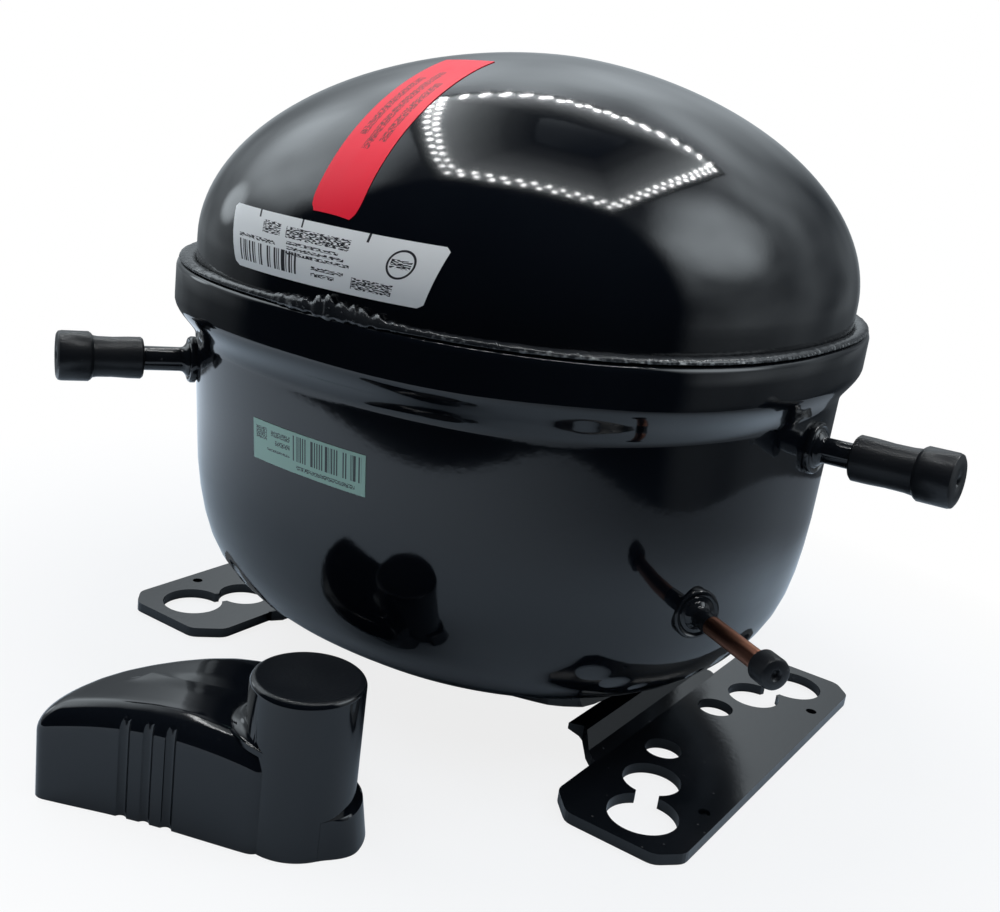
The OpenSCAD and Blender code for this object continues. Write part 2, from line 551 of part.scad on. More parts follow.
module axial_springs(y0, h) onaxis() round_y(44, [40, 50, 130, 140, 220, 230, 310, 320])
  translate([0, y0, 0]) rotate([-90, 0, 0]) helix(3.1, 0.6, h, 4);
module front_springs() color([0.55, 0.55, 0.57]) axial_springs(-53.95, 16.9);
module rear_springs() color([0.55, 0.55, 0.57]) axial_springs(-72.95, 15.9);

// ---- leads, plug and oil tube ----
module terminal_plug() color([0.85, 0.84, 0.8]) difference() {
  translate([-13, 70, 54]) cube([26, 12, 24]);
  at_terminal() for (q = [90, 210, 330]) translate([8 * cos(q), 0, 8 * sin(q)]) yc(1.6, 60, 90);
}
module coil_leads() color([0.75, 0.2, 0.15]) for (s = [-1, 0, 1]) translate([s * 4, 0, 0]) {
  translate([0, 76, 50]) cylinder(r = 1.1, h = 4);
  translate([0, 70, 50]) rotate([0, 90, 0]) rotate_extrude(angle = 90) translate([6, 0]) circle(r = 1.1);
  translate([0, 20, 44]) rotate([-90, 0, 0]) cylinder(r = 1.1, h = 50);
}
module oil_tube() color([0.6, 0.6, 0.55]) translate([-12, 26, 24]) difference() {
  cylinder(r = 3, h = 14.5);
  translate([0, 0, -1]) cylinder(r = 2, h = 20);
}

upper_shell();
lower_shell();
weld_bead();
foot_left();
foot_right();
suction_stub();
process_stub();
discharge_stub();
stub_collars();
suction_cap();
process_cap();
discharge_cap();
rating_label();
serial_label();
notice_label();
terminal_cup();
terminal_glass();
terminal_pins();
terminal_fence();
earth_screw();
terminal_cover();
spring_seats();
suspension_springs();
pump_sole();
sole_screws();
pump_frame();
cylinder_sleeve();
discharge_valve();
valve_spring();
discharge_cover();
cover_screws();
discharge_loop();
inner_stator();
outer_stator();
coil_bobbin();
coil();
stator_cover();
stator_bolts();
back_cover();
back_posts();
suction_guide();
piston();
suction_reed();
reed_screw();
magnet_frame();
magnets();
spring_supporter();
supporter_screws();
suction_muffler();
front_springs();
rear_springs();
terminal_plug();
coil_leads();
oil_tube();
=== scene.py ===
import math
import bpy
import numpy as np
from mathutils import Matrix, Vector, noise


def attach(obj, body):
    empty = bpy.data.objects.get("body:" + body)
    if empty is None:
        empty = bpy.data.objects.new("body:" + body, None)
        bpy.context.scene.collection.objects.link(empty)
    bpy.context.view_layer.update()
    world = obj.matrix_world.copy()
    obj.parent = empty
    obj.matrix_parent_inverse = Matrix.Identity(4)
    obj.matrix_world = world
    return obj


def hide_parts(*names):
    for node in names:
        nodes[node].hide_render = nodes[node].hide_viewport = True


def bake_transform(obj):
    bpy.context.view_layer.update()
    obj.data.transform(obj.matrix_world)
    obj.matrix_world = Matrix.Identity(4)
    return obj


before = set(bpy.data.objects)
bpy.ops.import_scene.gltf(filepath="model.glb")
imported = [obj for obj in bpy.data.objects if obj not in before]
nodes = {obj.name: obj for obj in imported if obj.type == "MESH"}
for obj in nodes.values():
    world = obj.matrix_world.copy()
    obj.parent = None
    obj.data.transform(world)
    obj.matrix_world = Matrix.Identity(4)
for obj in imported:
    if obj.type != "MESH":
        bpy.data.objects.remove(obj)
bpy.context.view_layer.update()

# ---------------------------------------------------------------- camera
# The compressor is seen from in front of its right foot, a little above
# the lip of the shell, with the horizon tipped by under eight degrees.
camera_data = bpy.data.cameras.new("camera")
camera_data.lens, camera_data.sensor_width = 43.63, 36.0
camera_data.clip_start, camera_data.clip_end = 0.01, 30
camera = bpy.data.objects.new("camera", camera_data)
bpy.context.scene.collection.objects.link(camera)
azimuth, elevation, roll = math.radians(32.37), math.radians(16.42), math.radians(7.69)
backward = Vector((math.sin(azimuth) * math.cos(elevation),
                   -math.cos(azimuth) * math.cos(elevation), math.sin(elevation)))
side = (-backward).cross(Vector((0, 0, 1))).normalized()
upward = side.cross(-backward)
side_rolled = side * math.cos(roll) + upward * math.sin(roll)
up_rolled = upward * math.cos(roll) - side * math.sin(roll)
camera.location = Vector((-0.0061, 0, 0.0644)) + backward * 0.3746
camera.rotation_mode = "QUATERNION"
camera.rotation_quaternion = Matrix((side_rolled, up_rolled, backward)).transposed().to_quaternion()
bpy.context.scene.camera = camera

# ---------------------------------------------------------------- studio
# A small white sheet in a dark room.  Pale windows stand behind and to the
# left, and a square ring of small lamps hangs over the sheet.
bpy.context.scene.view_settings.view_transform = "Standard"
studio = bpy.data.worlds.new("studio")
bpy.context.scene.world = studio
studio.use_nodes = True
tree = studio.node_tree
tree.nodes.clear()


def plug(tree, node, sockets):
    """Give each socket of a node its value, or link it."""
    for key, value in sockets.items():
        if isinstance(value, bpy.types.NodeSocket):
            tree.links.new(value, node.inputs[key])
        else:
            node.inputs[key].default_value = value
    return node


def wired(tree, kind, sockets=None, **settings):
    node = tree.nodes.new("ShaderNode" + kind)
    for key, value in settings.items():
        setattr(node, key, value)
    return plug(tree, node, sockets or {})


def soft_step(tree, value, low, high, top=1.0):
    return wired(tree, "MapRange", {"Value": value, "From Min": low, "From Max": high, "To Max": top},
                 interpolation_type="SMOOTHSTEP").outputs["Result"]


def vector_math(tree, operation, *values):
    return wired(tree, "VectorMath", dict(enumerate(values)), operation=operation).outputs[0]


def facing(tree, vector, way):
    return wired(tree, "VectorMath", {0: vector, 1: way}, operation="DOT_PRODUCT").outputs["Value"]


def length_of(tree, vector):
    return wired(tree, "VectorMath", {0: vector}, operation="LENGTH").outputs["Value"]


def combined(tree, operation, *values, clamp=False):
    return wired(tree, "Math", dict(enumerate(values)), operation=operation, use_clamp=clamp).outputs[0]


direction = wired(tree, "TexCoord").outputs["Generated"]
flat = vector_math(tree, "NORMALIZE", vector_math(tree, "MULTIPLY", direction, (1, 1, 0)))
height = wired(tree, "SeparateXYZ", {0: direction}).outputs["Z"]
windows = wired(tree, "ValToRGB", {"Fac": combined(tree, "MULTIPLY_ADD", height, 0.5, 0.5)})
stops = [(0.25, 0.02), (0.40, 0.06), (0.455, 0.19), (0.544, 0.19), (0.604, 0.22), (0.671, 0.38),
         (0.735, 0.64), (0.794, 0.86), (0.847, 0.66), (0.894, 0.25), (0.94, 0.07), (1.0, 0.03)]
ramp = windows.color_ramp.elements
ramp[0].position, ramp[1].position = stops[0][0], stops[-1][0]
for at, _ in stops[1:-1]:
    ramp.new(at)
for stop, (_, tone) in zip(ramp, stops):
    stop.color = (tone, tone, tone, 1)
dimmer = soft_step(tree, facing(tree, flat, (0.17, 0.985, 0)), 0.80, 0.985, -0.5)
uneven = wired(tree, "TexNoise", {"Vector": direction, "Scale": 2.6, "Detail": 1.5}).outputs["Fac"]
share = combined(tree, "MULTIPLY_ADD", uneven, 1.7, 0.1)
open_side = soft_step(tree, facing(tree, flat, (-0.375, 0.927, 0)), -0.26, -0.05)
band = combined(tree, "MULTIPLY", windows.outputs["Color"], open_side)
glare = combined(tree, "MULTIPLY", band, combined(tree, "ADD", share, dimmer))
# Left pane, right pane and a narrow streak: way, near and far edge, brightness.
for way, edge, core, bright in (((-0.766, -0.027, 0.643), 0.90, 0.985, 0.5),
                                ((0.604, 0.506, 0.616), 0.92, 0.995, 0.95),
                                ((-0.977, -0.034, 0.208), 0.985, 0.998, 0.9)):
    glare = combined(tree, "ADD", glare, soft_step(tree, facing(tree, direction, way), edge, core, bright))
tinted = wired(tree, "Mix", {"Factor": glare, "A": (0.005, 0.007, 0.010, 1), "B": (0.91, 1.0, 1.06, 1)},
               data_type="RGBA", clamp_factor=False)
room = wired(tree, "Background", {"Color": tinted.outputs["Result"], "Strength": 2.0})
seen = wired(tree, "Background", {"Color": (1, 1, 1, 1)})
pick = wired(tree, "MixShader", {"Fac": wired(tree, "LightPath").outputs["Is Camera Ray"],
                                 1: room.outputs[0], 2: seen.outputs[0]})
wired(tree, "OutputWorld", {"Surface": pick.outputs[0]})


def shader_for(name):
    """A new material and its nodes."""
    material = bpy.data.materials.new(name)
    material.use_nodes = True
    return material, material.node_tree


def studio_mesh(name, verts, faces, material):
    mesh = bpy.data.meshes.new(name)
    mesh.from_pydata(verts, [], faces)
    mesh.materials.append(material)
    thing = bpy.data.objects.new(name, mesh)
    bpy.context.scene.collection.objects.link(thing)
    return thing


# The sheet is plain paper under the compressor and glows evenly round its rim
# with painted window light, more on the window side.  Seen directly it is nearly white all over.
sheet_paper, tree = shader_for("sheet_paper")
paper = plug(tree, tree.nodes["Principled BSDF"], {
    "Base Color": (0.42, 0.49, 0.57, 1), "Roughness": 0.6, "Specular IOR Level": 0.2})
place = wired(tree, "TexCoord").outputs["Object"]
away = length_of(tree, vector_math(tree, "MULTIPLY", place, (3.4, 3.95, 0)))
window_side = wired(tree, "MapRange", {"Value": facing(tree, place, (0.85, 0.5, 0)), "From Min": -0.25,
                                       "From Max": 0.2, "To Min": 1.05, "To Max": 0.26})
# Painted window light: the rim of the sheet glows, brighter towards the windows.
painted_window_glow = wired(tree, "Emission", {"Color": (0.86, 1.0, 1.16, 1), "Strength": window_side.outputs["Result"]})
blend = wired(tree, "MixShader", {"Fac": soft_step(tree, away, 0.55, 0.98),
                                  1: paper.outputs[0], 2: painted_window_glow.outputs[0]})
rim_white = wired(tree, "MapRange", {"Value": away, "From Min": 0.45, "From Max": 0.9,
                                     "To Min": 0.83, "To Max": 1.0})
plain_white = combined(tree, "MULTIPLY", wired(tree, "LightPath").outputs["Is Camera Ray"],
                       rim_white.outputs["Result"])
shown = wired(tree, "MixShader", {"Fac": plain_white, 1: blend.outputs[0],
                                  2: wired(tree, "Emission").outputs[0]})
plug(tree, tree.nodes["Material Output"], {"Surface": shown.outputs[0]})
sheet_edge = []
for k in range(96):
    c, s = math.cos(math.pi * k / 48), math.sin(math.pi * k / 48)
    sheet_edge.append(((0.34 if c < 0 else 0.29) * math.copysign(abs(c) ** 0.6, c),
                       (0.25 if s < 0 else 0.32) * math.copysign(abs(s) ** 0.6, s), -0.0002))
studio_mesh("sheet", sheet_edge, [tuple(range(96))], sheet_paper)

lamp_glow, tree = shader_for("ring_lamp")
glow = wired(tree, "Emission", {"Strength": 34})
plug(tree, tree.nodes["Material Output"], {"Surface": glow.outputs[0]})
lamp_path = [(-0.617, 0.398), (-0.475, 0.144), (-0.319, -0.083), (-0.215, -0.19), (-0.028, -0.156),
             (0.179, -0.071),
             (0.374, 0.043), (0.323, 0.311), (0.26, 0.577), (0.185, 0.82), (0.073, 0.76), (-0.042, 0.66),
             (-0.178, 0.58),
             (-0.304, 0.54), (-0.421, 0.51), (-0.522, 0.463)]
lamp_path = np.array(lamp_path + lamp_path[:1])
run = np.concatenate([[0], np.cumsum(np.linalg.norm(np.diff(lamp_path, axis=0), axis=1))])
ring_middle = np.array([-0.06, 0.30])
ring_verts, ring_faces = [], []
for row, size in enumerate((0.965, 1.03)):
    for k in range(54):
        way = (k + 0.5 * row) / 54 * run[-1]
        x, y = ring_middle + (np.array([np.interp(way, run, lamp_path[:, 0]),
                                        np.interp(way, run, lamp_path[:, 1])]) - ring_middle) * size
        base = len(ring_verts)
        ring_verts += [(x + 0.011 * math.cos(q * math.pi / 4), y + 0.011 * math.sin(q * math.pi / 4),
                        0.9) for q in range(8)]
        ring_faces.append(tuple(base + q for q in range(7, -1, -1)))
studio_mesh("ring_lamps", ring_verts, ring_faces, lamp_glow)

# The lamps light a soft band of the ceiling round them.
spill, tree = shader_for("ceiling_spill")
tone = wired(tree, "Attribute", attribute_name="spill").outputs["Fac"]
spread = wired(tree, "Emission", {"Color": (0.9, 0.97, 1.0, 1), "Strength": tone})
plug(tree, tree.nodes["Material Output"], {"Surface": spread.outputs[0]})
bands = [(0.30, 0.05), (0.5, 0.22), (0.72, 0.8), (0.88, 1.5), (0.97, 2.4), (1.04, 2.0), (1.09, 0.5),
         (1.16, 0.03)]
spill_verts, spill_faces, spill_tones = [], [], []
for size, strength in bands:
    for x, y in lamp_path[:-1]:
        spot = ring_middle + (np.array([x, y]) - ring_middle) * size
        spill_verts.append((spot[0], spot[1], 0.905))
        spill_tones.append(strength)
corners = len(lamp_path) - 1
for b in range(len(bands) - 1):
    for k in range(corners):
        a, c = b * corners + k, b * corners + (k + 1) % corners
        spill_faces.append((a, c, c + corners, a + corners))
spill_mesh = studio_mesh("ceiling_spill", spill_verts, spill_faces, spill)
layer = spill_mesh.data.attributes.new("spill", "FLOAT", "POINT")
layer.data.foreach_set("value", spill_tones)

over_sheet = bpy.data.lights.new("over_sheet", "AREA")
over_sheet.size, over_sheet.energy, over_sheet.color = 2.0, 30, (0.98, 1.0, 1.02)
lamp = bpy.data.objects.new("over_sheet", over_sheet)
lamp.location = (0.1, -0.2, 1.5)
lamp.rotation_euler = (-lamp.location).to_track_quat("-Z", "Y").to_euler()
lamp.visible_glossy = False
bpy.context.scene.collection.objects.link(lamp)

# ---------------------------------------------------------------- lower shell
# Deep-drawn steel tub, 3 mm thick, with a lip flared out round its mouth
# to take the crown.  Dipped in gloss black enamel after welding.
MM = 0.001
ROUND_STEPS = 192
lip_half = (90.3, 103.4)
lip_top, neck_height, tub_low = 118.7, 100.5, 7.5


def egg_ring(half_x, half_y, power, z, steps=ROUND_STEPS):
    turn = np.arange(steps) * 2 * np.pi / steps
    c, s = np.cos(turn), np.sin(turn)
    return np.stack([half_x * np.sign(c) * np.abs(c) ** (2 / power),
                     half_y * np.sign(s) * np.abs(s) ** (2 / power), np.full(steps, z)], -1)


def tub_half_x(z):
    fall = np.clip((neck_height - z) / (neck_height - tub_low + 0.2), 0, 1)
    return 86 * (1 - fall ** 8.4) ** (1 / 1.3)


def tub_half_y(z):
    fall = np.clip((neck_height - z) / (neck_height - tub_low + 0.2), 0, 1)
    return (97 - 0.12 * (neck_height - z)) * (1 - fall ** 7.6) ** (1 / 1.3)


def tub_power(z):
    return float(np.interp(z, [20, 60], [2.15, 2.4]))


def ring_skin(rings, close_ends=True, close_loop=False):
    """Points and faces of a skin laid over a run of rings, in millimetres."""
    count, steps = len(rings), len(rings[0])
    points = np.concatenate(rings)
    faces = []
    for k in range(count if close_loop else count - 1):
        a, b = k * steps, (k + 1) % count * steps
        for i in range(steps):
            j = (i + 1) % steps
            faces.append((a + i, a + j, b + j, b + i))
    if close_ends and not close_loop:
        faces.append(tuple(range(steps - 1, -1, -1)))
        faces.append(tuple((count - 1) * steps + i for i in range(steps)))
    return points, faces


def piece(name, points, faces, body, material, stands_for=(), crease=35):
    """A modelled piece, points in millimetres."""
    mesh = bpy.data.meshes.new(name)
    mesh.from_pydata([tuple(p) for p in np.asarray(points, float) * MM], [], faces)
    mesh.validate()
    for face in mesh.polygons:
        face.use_smooth = True
    mesh.set_sharp_from_angle(angle=math.radians(crease))
    mesh.materials.append(material)
    thing = bpy.data.objects.new(name, mesh)
    bpy.context.scene.collection.objects.link(thing)
    if body:
        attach(thing, body)
    if stands_for:
        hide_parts(*stands_for)
    return thing


def shader_group(name, inputs, outputs):
    group = bpy.data.node_groups.new(name, "ShaderNodeTree")
    for label, kind, value in inputs:
        socket = group.interface.new_socket(label, in_out="INPUT", socket_type="NodeSocket" + kind)
        socket.default_value = value
    for label, kind in outputs:
        group.interface.new_socket(label, in_out="OUTPUT", socket_type="NodeSocket" + kind)
    return group, group.nodes.new("NodeGroupInput").outputs, group.nodes.new("NodeGroupOutput")


def surface_grain():
    """Two tones, roughness and height of a worked surface, in metres."""
    group, given, gives = shader_group("surface_grain", [
        ("Tone A", "Color", (0.5, 0.5, 0.5, 1)), ("Tone B", "Color", (0.4, 0.4, 0.4, 1)),
        ("Grain", "Float", 800.0), ("Stretch", "Vector", (1, 1, 1)),
        ("Rough Low", "Float", 0.2), ("Rough High", "Float", 0.4),
        ("Specks", "Float", 0.0), ("Speck Tone", "Color", (0.5, 0.5, 0.5, 1))],
        [("Color", "Color"), ("Roughness", "Float"), ("Height", "Float")])
    place = wired(group, "TexCoord").outputs["Object"]
    fine = wired(group, "TexNoise", {"Vector": vector_math(group, "MULTIPLY", place, given["Stretch"]),
                                     "Scale": given["Grain"], "Detail": 4}).outputs["Fac"]
    broad = wired(group, "TexNoise", {"Vector": place, "Scale": 35}).outputs["Fac"]
    specks = wired(group, "TexVoronoi", {"Vector": place, "Scale": 260}).outputs["Distance"]
    small = wired(group, "MapRange", {"Value": specks, "From Min": 0.10,
                                      "From Max": 0.05}).outputs["Result"]
    cloud = combined(group, "MULTIPLY_ADD", broad, 1.6, -0.3, clamp=True)
    tones = wired(group, "Mix", {"Factor": cloud, "A": given["Tone A"], "B": given["Tone B"]},
                  data_type="RGBA")
    dusted = wired(group, "Mix", {"Factor": combined(group, "MULTIPLY", small, given["Specks"]),
                                  "A": tones.outputs["Result"], "B": given["Speck Tone"]}, data_type="RGBA")
    rough = wired(group, "MapRange", {"Value": combined(group, "MULTIPLY_ADD", fine, 0.25, broad),
                                      "To Min": given["Rough Low"], "To Max": given["Rough High"]})
    plug(group, gives, {"Color": dusted.outputs["Result"], "Roughness": rough.outputs["Result"],
                        "Height": fine})
    return group


def edge_wear_and_highlight():
    """Mask that is 1 where a corner has lost its finish and carries a painted highlight."""
    group, given, gives = shader_group("edge_wear_and_highlight", [("Reach", "Float", 0.56), ("Ragged", "Float", 900.0)],
                                       [("Mask", "Float")])
    place = wired(group, "TexCoord").outputs["Object"]
    ragged = wired(group, "TexNoise", {"Vector": place, "Scale": given["Ragged"]}).outputs["Fac"]
    corner = combined(group, "ADD", combined(group, "MULTIPLY_ADD", ragged, 0.16, -0.08),
                      wired(group, "NewGeometry").outputs["Pointiness"])
    over = combined(group, "SUBTRACT", corner, given["Reach"])
    plug(group, gives, {"Mask": combined(group, "MULTIPLY", over, 14, clamp=True)})
    return group


grain_group, wear_and_highlight_group = surface_grain(), edge_wear_and_highlight()


def finish(name, tone_a, tone_b, rough=(0.2, 0.4), metal=0.0, grain=800.0, stretch=(1, 1, 1), bump=0.1,
           depth=0.0001, wear_and_highlight=None, specks=0.0, speck_tone=(0.3, 0.3, 0.3), coat=0.0, ior=1.5):
    """A maker's finish: base tones, worked grain, and pale worn corners where asked, which also paint a highlight."""
    material, tree = shader_for(name)
    worked = wired(tree, "Group", {
        "Tone A": (*tone_a, 1), "Tone B": (*tone_b, 1), "Grain": grain, "Stretch": stretch,
        "Rough Low": rough[0], "Rough High": rough[1], "Specks": specks,
        "Speck Tone": (*speck_tone, 1)}, node_tree=grain_group).outputs
    relief = wired(tree, "Bump", {"Strength": bump, "Distance": depth, "Height": worked["Height"]})
    colour = worked["Color"]
    # Pale colour on sharp corners: worn finish, and a painted highlight on them.
    if wear_and_highlight:
        bare_or_lit, reach = wear_and_highlight
        worn_or_lit = wired(tree, "Group", {"Reach": reach}, node_tree=wear_and_highlight_group).outputs["Mask"]
        colour = wired(tree, "Mix", {"A": colour, "B": (*bare_or_lit, 1), "Factor": worn_or_lit},
                       data_type="RGBA").outputs["Result"]
    plug(tree, tree.nodes["Principled BSDF"], {
        "Metallic": metal, "IOR": ior, "Coat Weight": coat, "Coat Roughness": 0.05,
        "Base Color": colour, "Roughness": worked["Roughness"], "Normal": relief.outputs["Normal"]})
    return material


enamel = finish("gloss_black_enamel", (0.0015, 0.0022, 0.004), (0.003, 0.004, 0.006), rough=(0.035, 0.09),
                grain=420, bump=0.05, depth=0.0002, specks=0.05, speck_tone=(0.05, 0.05, 0.055), ior=1.52)


def tub_rings():
    rings = [egg_ring(tub_half_x(z), tub_half_y(z), tub_power(z), z)
             for z in tub_low + np.array([0, 0.6, 1.4, 2.4, 3.6, 5, 6.6, 8.4, 10.4, 12.6, 15, 18, 21, 25,
                                          29, 34,
                                          40, 47, 55, 63, 72, 80, 86, 90])]
    for z in np.linspace(98.5, 109.5, 12):
        ease = np.clip((z - neck_height + 1.5) / 10.0, 0, 1)
        ease = ease * ease * (3 - 2 * ease)
        fall = neck_height - min(z, neck_height)
        rings.append(egg_ring(86 + 4.3 * ease, 97 - 0.12 * fall + 6.4 * ease, 2.4, z))
    for inset, z in ((0, 111), (0, 114), (0, 117.2), (0.25, 118.0), (0.9, 118.55), (1.8, 118.7)):
        rings.append(egg_ring(lip_half[0] - inset, lip_half[1] - inset * 0.6, 2.4, z))
    rings += [egg_ring(86.2, 101.3, 2.26, 118.6), egg_ring(86.2, 101.3, 2.26, 109.2),
              egg_ring(82.9, 97.9, 2.28, 108.9)]
    for z in (100, 88, 70, 50, 36, 26, 20, 16, 13, 11):
        rings.append(egg_ring(max(tub_half_x(z) - 3, 8), max(tub_half_y(z) - 3, 8), tub_power(z),
                              z + (0.4 if z < 30 else 0)))
    return rings


points, faces = ring_skin(tub_rings())
piece("lower_shell_tub", points, faces, "shell", enamel, ("lower_shell",), crease=50)

# ---------------------------------------------------------------- upper shell
# Deep-drawn steel crown, pressed down inside the lip of the tub.  Same
# gloss black enamel, with the soft waviness of a dipped coat.
crown_half = (86.1, 101.2)
shoulder, crown_rise = 125.9, 57.4


def crown_shrink(h):
    return (1 - h ** 1.95) ** (1 / 1.86)


climb = np.sin(np.linspace(0, 0.4985 * math.pi, 46)) ** 1.02
crown_rings = [egg_ring(crown_half[0], crown_half[1], 2.26, z) for z in (109.3, 115, 120, 124)]
crown_rings += [egg_ring(crown_half[0] * crown_shrink(h), crown_half[1] * crown_shrink(h), 2.26,
                         shoulder + crown_rise * h) for h in climb]
crown_rings += [egg_ring((crown_half[0] - 3) * crown_shrink(h), (crown_half[1] - 3) * crown_shrink(h), 2.26,
                         shoulder + (crown_rise - 3) * h) for h in climb[::-3]]
crown_rings.append(egg_ring(crown_half[0] - 3, crown_half[1] - 3, 2.26, 109.3))
points, faces = ring_skin(crown_rings, close_ends=False)
last = (len(crown_rings) - 1) * ROUND_STEPS
faces += [(last + i, last + (i + 1) % ROUND_STEPS, (i + 1) % ROUND_STEPS, i) for i in range(ROUND_STEPS)]
piece("upper_shell_crown", points, faces, "shell", enamel, ("upper_shell",), crease=50)

# ---------------------------------------------------------------- weld bead
# One pass of weld round the joint of crown and lip, with a lumpy overlap
# where it starts and stops.  Enamelled over; its high spots are pale, partly bare steel and partly a painted
# highlight.
# Its sharp high spots get a pale colour: partly bare steel, partly a painted highlight.
bead_finish = finish("enamelled_weld", (0.006, 0.007, 0.009), (0.03, 0.032, 0.035), rough=(0.05, 0.22),
                     grain=900, bump=0.4, depth=0.0003, wear_and_highlight=((0.42, 0.44, 0.45), 0.56),
                     specks=0.3, speck_tone=(0.2, 0.2, 0.2))
bead_steps, bead_sides = 900, 12
inner_line = egg_ring(86.1, 101.2, 2.26, 0, bead_steps)
outer_line = egg_ring(89.7, 102.9, 2.4, 0, bead_steps)
bead_rings = []
for k in range(bead_steps):
    inner, outer = inner_line[k], outer_line[k]
    across = outer - inner
    wide = np.linalg.norm(across)
    across = across / max(wide, 1e-6)
    turn = math.atan2(inner[1] / 101.2, inner[0] / 86.1)
    ripple = noise.noise(Vector((turn * 55, 0.3, 1.7))) * 0.3 + noise.noise(Vector((turn * 150, 4.3,
                                                                                    0.2))) * 0.12
    start = math.exp(-((inner[0] - 9) / 12) ** 2) if inner[1] < 0 else 0.0
    lump = start * (1.0 + 1.3 * noise.noise(Vector((turn * 60, 9.1, 3.3))))
    ring = []
    for q in range(bead_sides):
        swing = 2 * math.pi * q / bead_sides
        rough_bit = noise.noise(Vector((turn * 75, math.cos(swing) * 1.6,
                                        math.sin(swing) * 1.6))) * (0.10 + 0.75 * start)
        reach = 0.5 * max(wide, 2.2) + 0.1 + 0.25 * ripple + 0.5 * lump + rough_bit
        high = 1.15 + 0.5 * ripple + 1.9 * lump + rough_bit
        spot = inner + across * (wide * 0.5 - 0.1) + across * reach * math.cos(swing)
        ring.append((spot[0], spot[1], 119.35 + high * math.sin(swing) * (1 if math.sin(swing) > 0 else 0.5)))
    bead_rings.append(np.array(ring))
points, faces = ring_skin(bead_rings, close_loop=True)
piece("weld_bead_run", points, [f[::-1] for f in faces], "shell", bead_finish,
      ("weld_bead",), crease=80)

# ---------------------------------------------------------------- feet
# Two pressed steel strips with keyholes for rubber grommets.  Each rises
# to a saddle spot-welded under the tub, and wears the same enamel.
foot_enamel = finish("foot_enamel", (0.002, 0.003, 0.0045), (0.005, 0.006, 0.008), rough=(0.07, 0.2),
                     grain=600,
                     bump=0.12, depth=0.0002, specks=0.25, speck_tone=(0.14, 0.14, 0.14), ior=1.52)


def soften_edges(node_name, width, material):
    thing = nodes[node_name]
    thing.data.materials.clear()
    thing.data.materials.append(material)
    rounding = thing.modifiers.new("rounded_edges", "BEVEL")
    rounding.width, rounding.segments, rounding.limit_method = width, 2, "ANGLE"
    rounding.angle_limit, rounding.harden_normals = math.radians(32), False
    rounding.use_clamp_overlap = True


for foot_name in ("foot_left", "foot_right"):
    soften_edges(foot_name, 0.0005, foot_enamel)

# ---------------------------------------------------------------- tube stubs
# Drawn steel suction and process tubes and a thin copper discharge tube,
# each brazed into a collar that is projection-welded to the tub.
tube_enamel = finish("tube_enamel", (0.003, 0.004, 0.006), (0.008, 0.009, 0.011), rough=(0.06, 0.16),
                     grain=900,
                     bump=0.12, depth=0.0001, specks=0.2, speck_tone=(0.2, 0.2, 0.2))
bare_copper = finish("drawn_copper", (0.42, 0.20, 0.13), (0.20, 0.085, 0.06), rough=(0.24, 0.42), metal=1.0,
                     grain=500, stretch=(1, 1, 3), bump=0.15, depth=0.0001, specks=0.5,
                     speck_tone=(0.08, 0.04, 0.03))
# origin, heading, lift, tube diameter, bore, from, to, spigot and collar radii
ports = {
    "suction": ((-58.8, -77.4, 91), -122, 0, 6.5, 4.7, -10, 31.4, 5.0, 6.3),
    "process": ((85.8, 11.3, 90.4), -2.5, 2.5, 7.1, 5.3, -10, 35, 5.0, 7.2),
    "discharge": ((80.9, -38.6, 54.4), -34, 2, 5.0, 3.4, -9.4, 32.8, 4.5, 6.5),
}


def turned(profile, port, steps=64):
    """A piece turned on a lathe: (radius, distance along the tube) pairs."""
    origin, heading, lift = ports[port][0], math.radians(ports[port][1]), math.radians(ports[port][2])
    along = np.array([math.cos(heading) * math.cos(lift), math.sin(heading) * math.cos(lift),
                      math.sin(lift)])
    across = np.array([-math.sin(heading), math.cos(heading), 0])
    upright = np.cross(along, across)
    turn = np.arange(steps) * 2 * np.pi / steps
    return [np.array(origin) + along * reach + radius * (np.cos(turn)[:, None] * across + np.sin(turn)[:,
                                                                                                       None] * upright)
            for radius, reach in profile]


def gathered(skins):
    """One set of points and faces out of several."""
    points, faces, shift = [], [], 0
    for some_points, some_faces in skins:
        points.append(some_points)
        faces += [tuple(i + shift for i in face) for face in some_faces]
        shift += len(some_points)
    return np.concatenate(points), faces


collars = []
for port, (_, _, _, wide, hollow, start, end, spigot, half) in ports.items():
    outer, inner = wide / 2, hollow / 2
    points, faces = ring_skin(turned([(inner, start), (outer, start), (outer, end - 0.4),
                                      (outer - 0.3, end), (inner, end)],
                                     port, 48), close_loop=True)
    copper = port == "discharge"
    piece(port + "_tube", points, faces, "shell",
          bare_copper if copper else tube_enamel, (port + "_stub",), crease=40)
    collars.append(ring_skin(turned([
        (outer + 0.02, -3.4), (spigot - 0.1, -3.4), (spigot, -0.6), (half - 0.5, 0.1), (half, 0.5),
        (half, 1.5),
        (half - 0.35, 2.05), (half - 0.8, 2.15), (half - 1.2, 1.75), (half - 1.5, 1.7), (half - 1.8, 2.1),
        (outer + 1.3, 2.3),
        (outer + 1.1, 2.7), (outer + 0.55, 3.1), (outer + 0.15, 3.6), (outer + 0.02, 4.2)], port),
        close_loop=True))
points, faces = gathered(collars)
piece("stub_collars_turned", points, faces, "shell", tube_enamel, ("stub_collars",),
      crease=40)
# The discharge tube is painted for its first few millimetres.
points, faces = ring_skin(turned([(2.51, 4.2), (2.56, 4.4), (2.58, 7.6), (2.56, 8.5), (2.51, 8.9)],
                                 "discharge", 48), close_loop=True)
piece("discharge_tube_overpaint", points, faces, "shell", tube_enamel, crease=60)

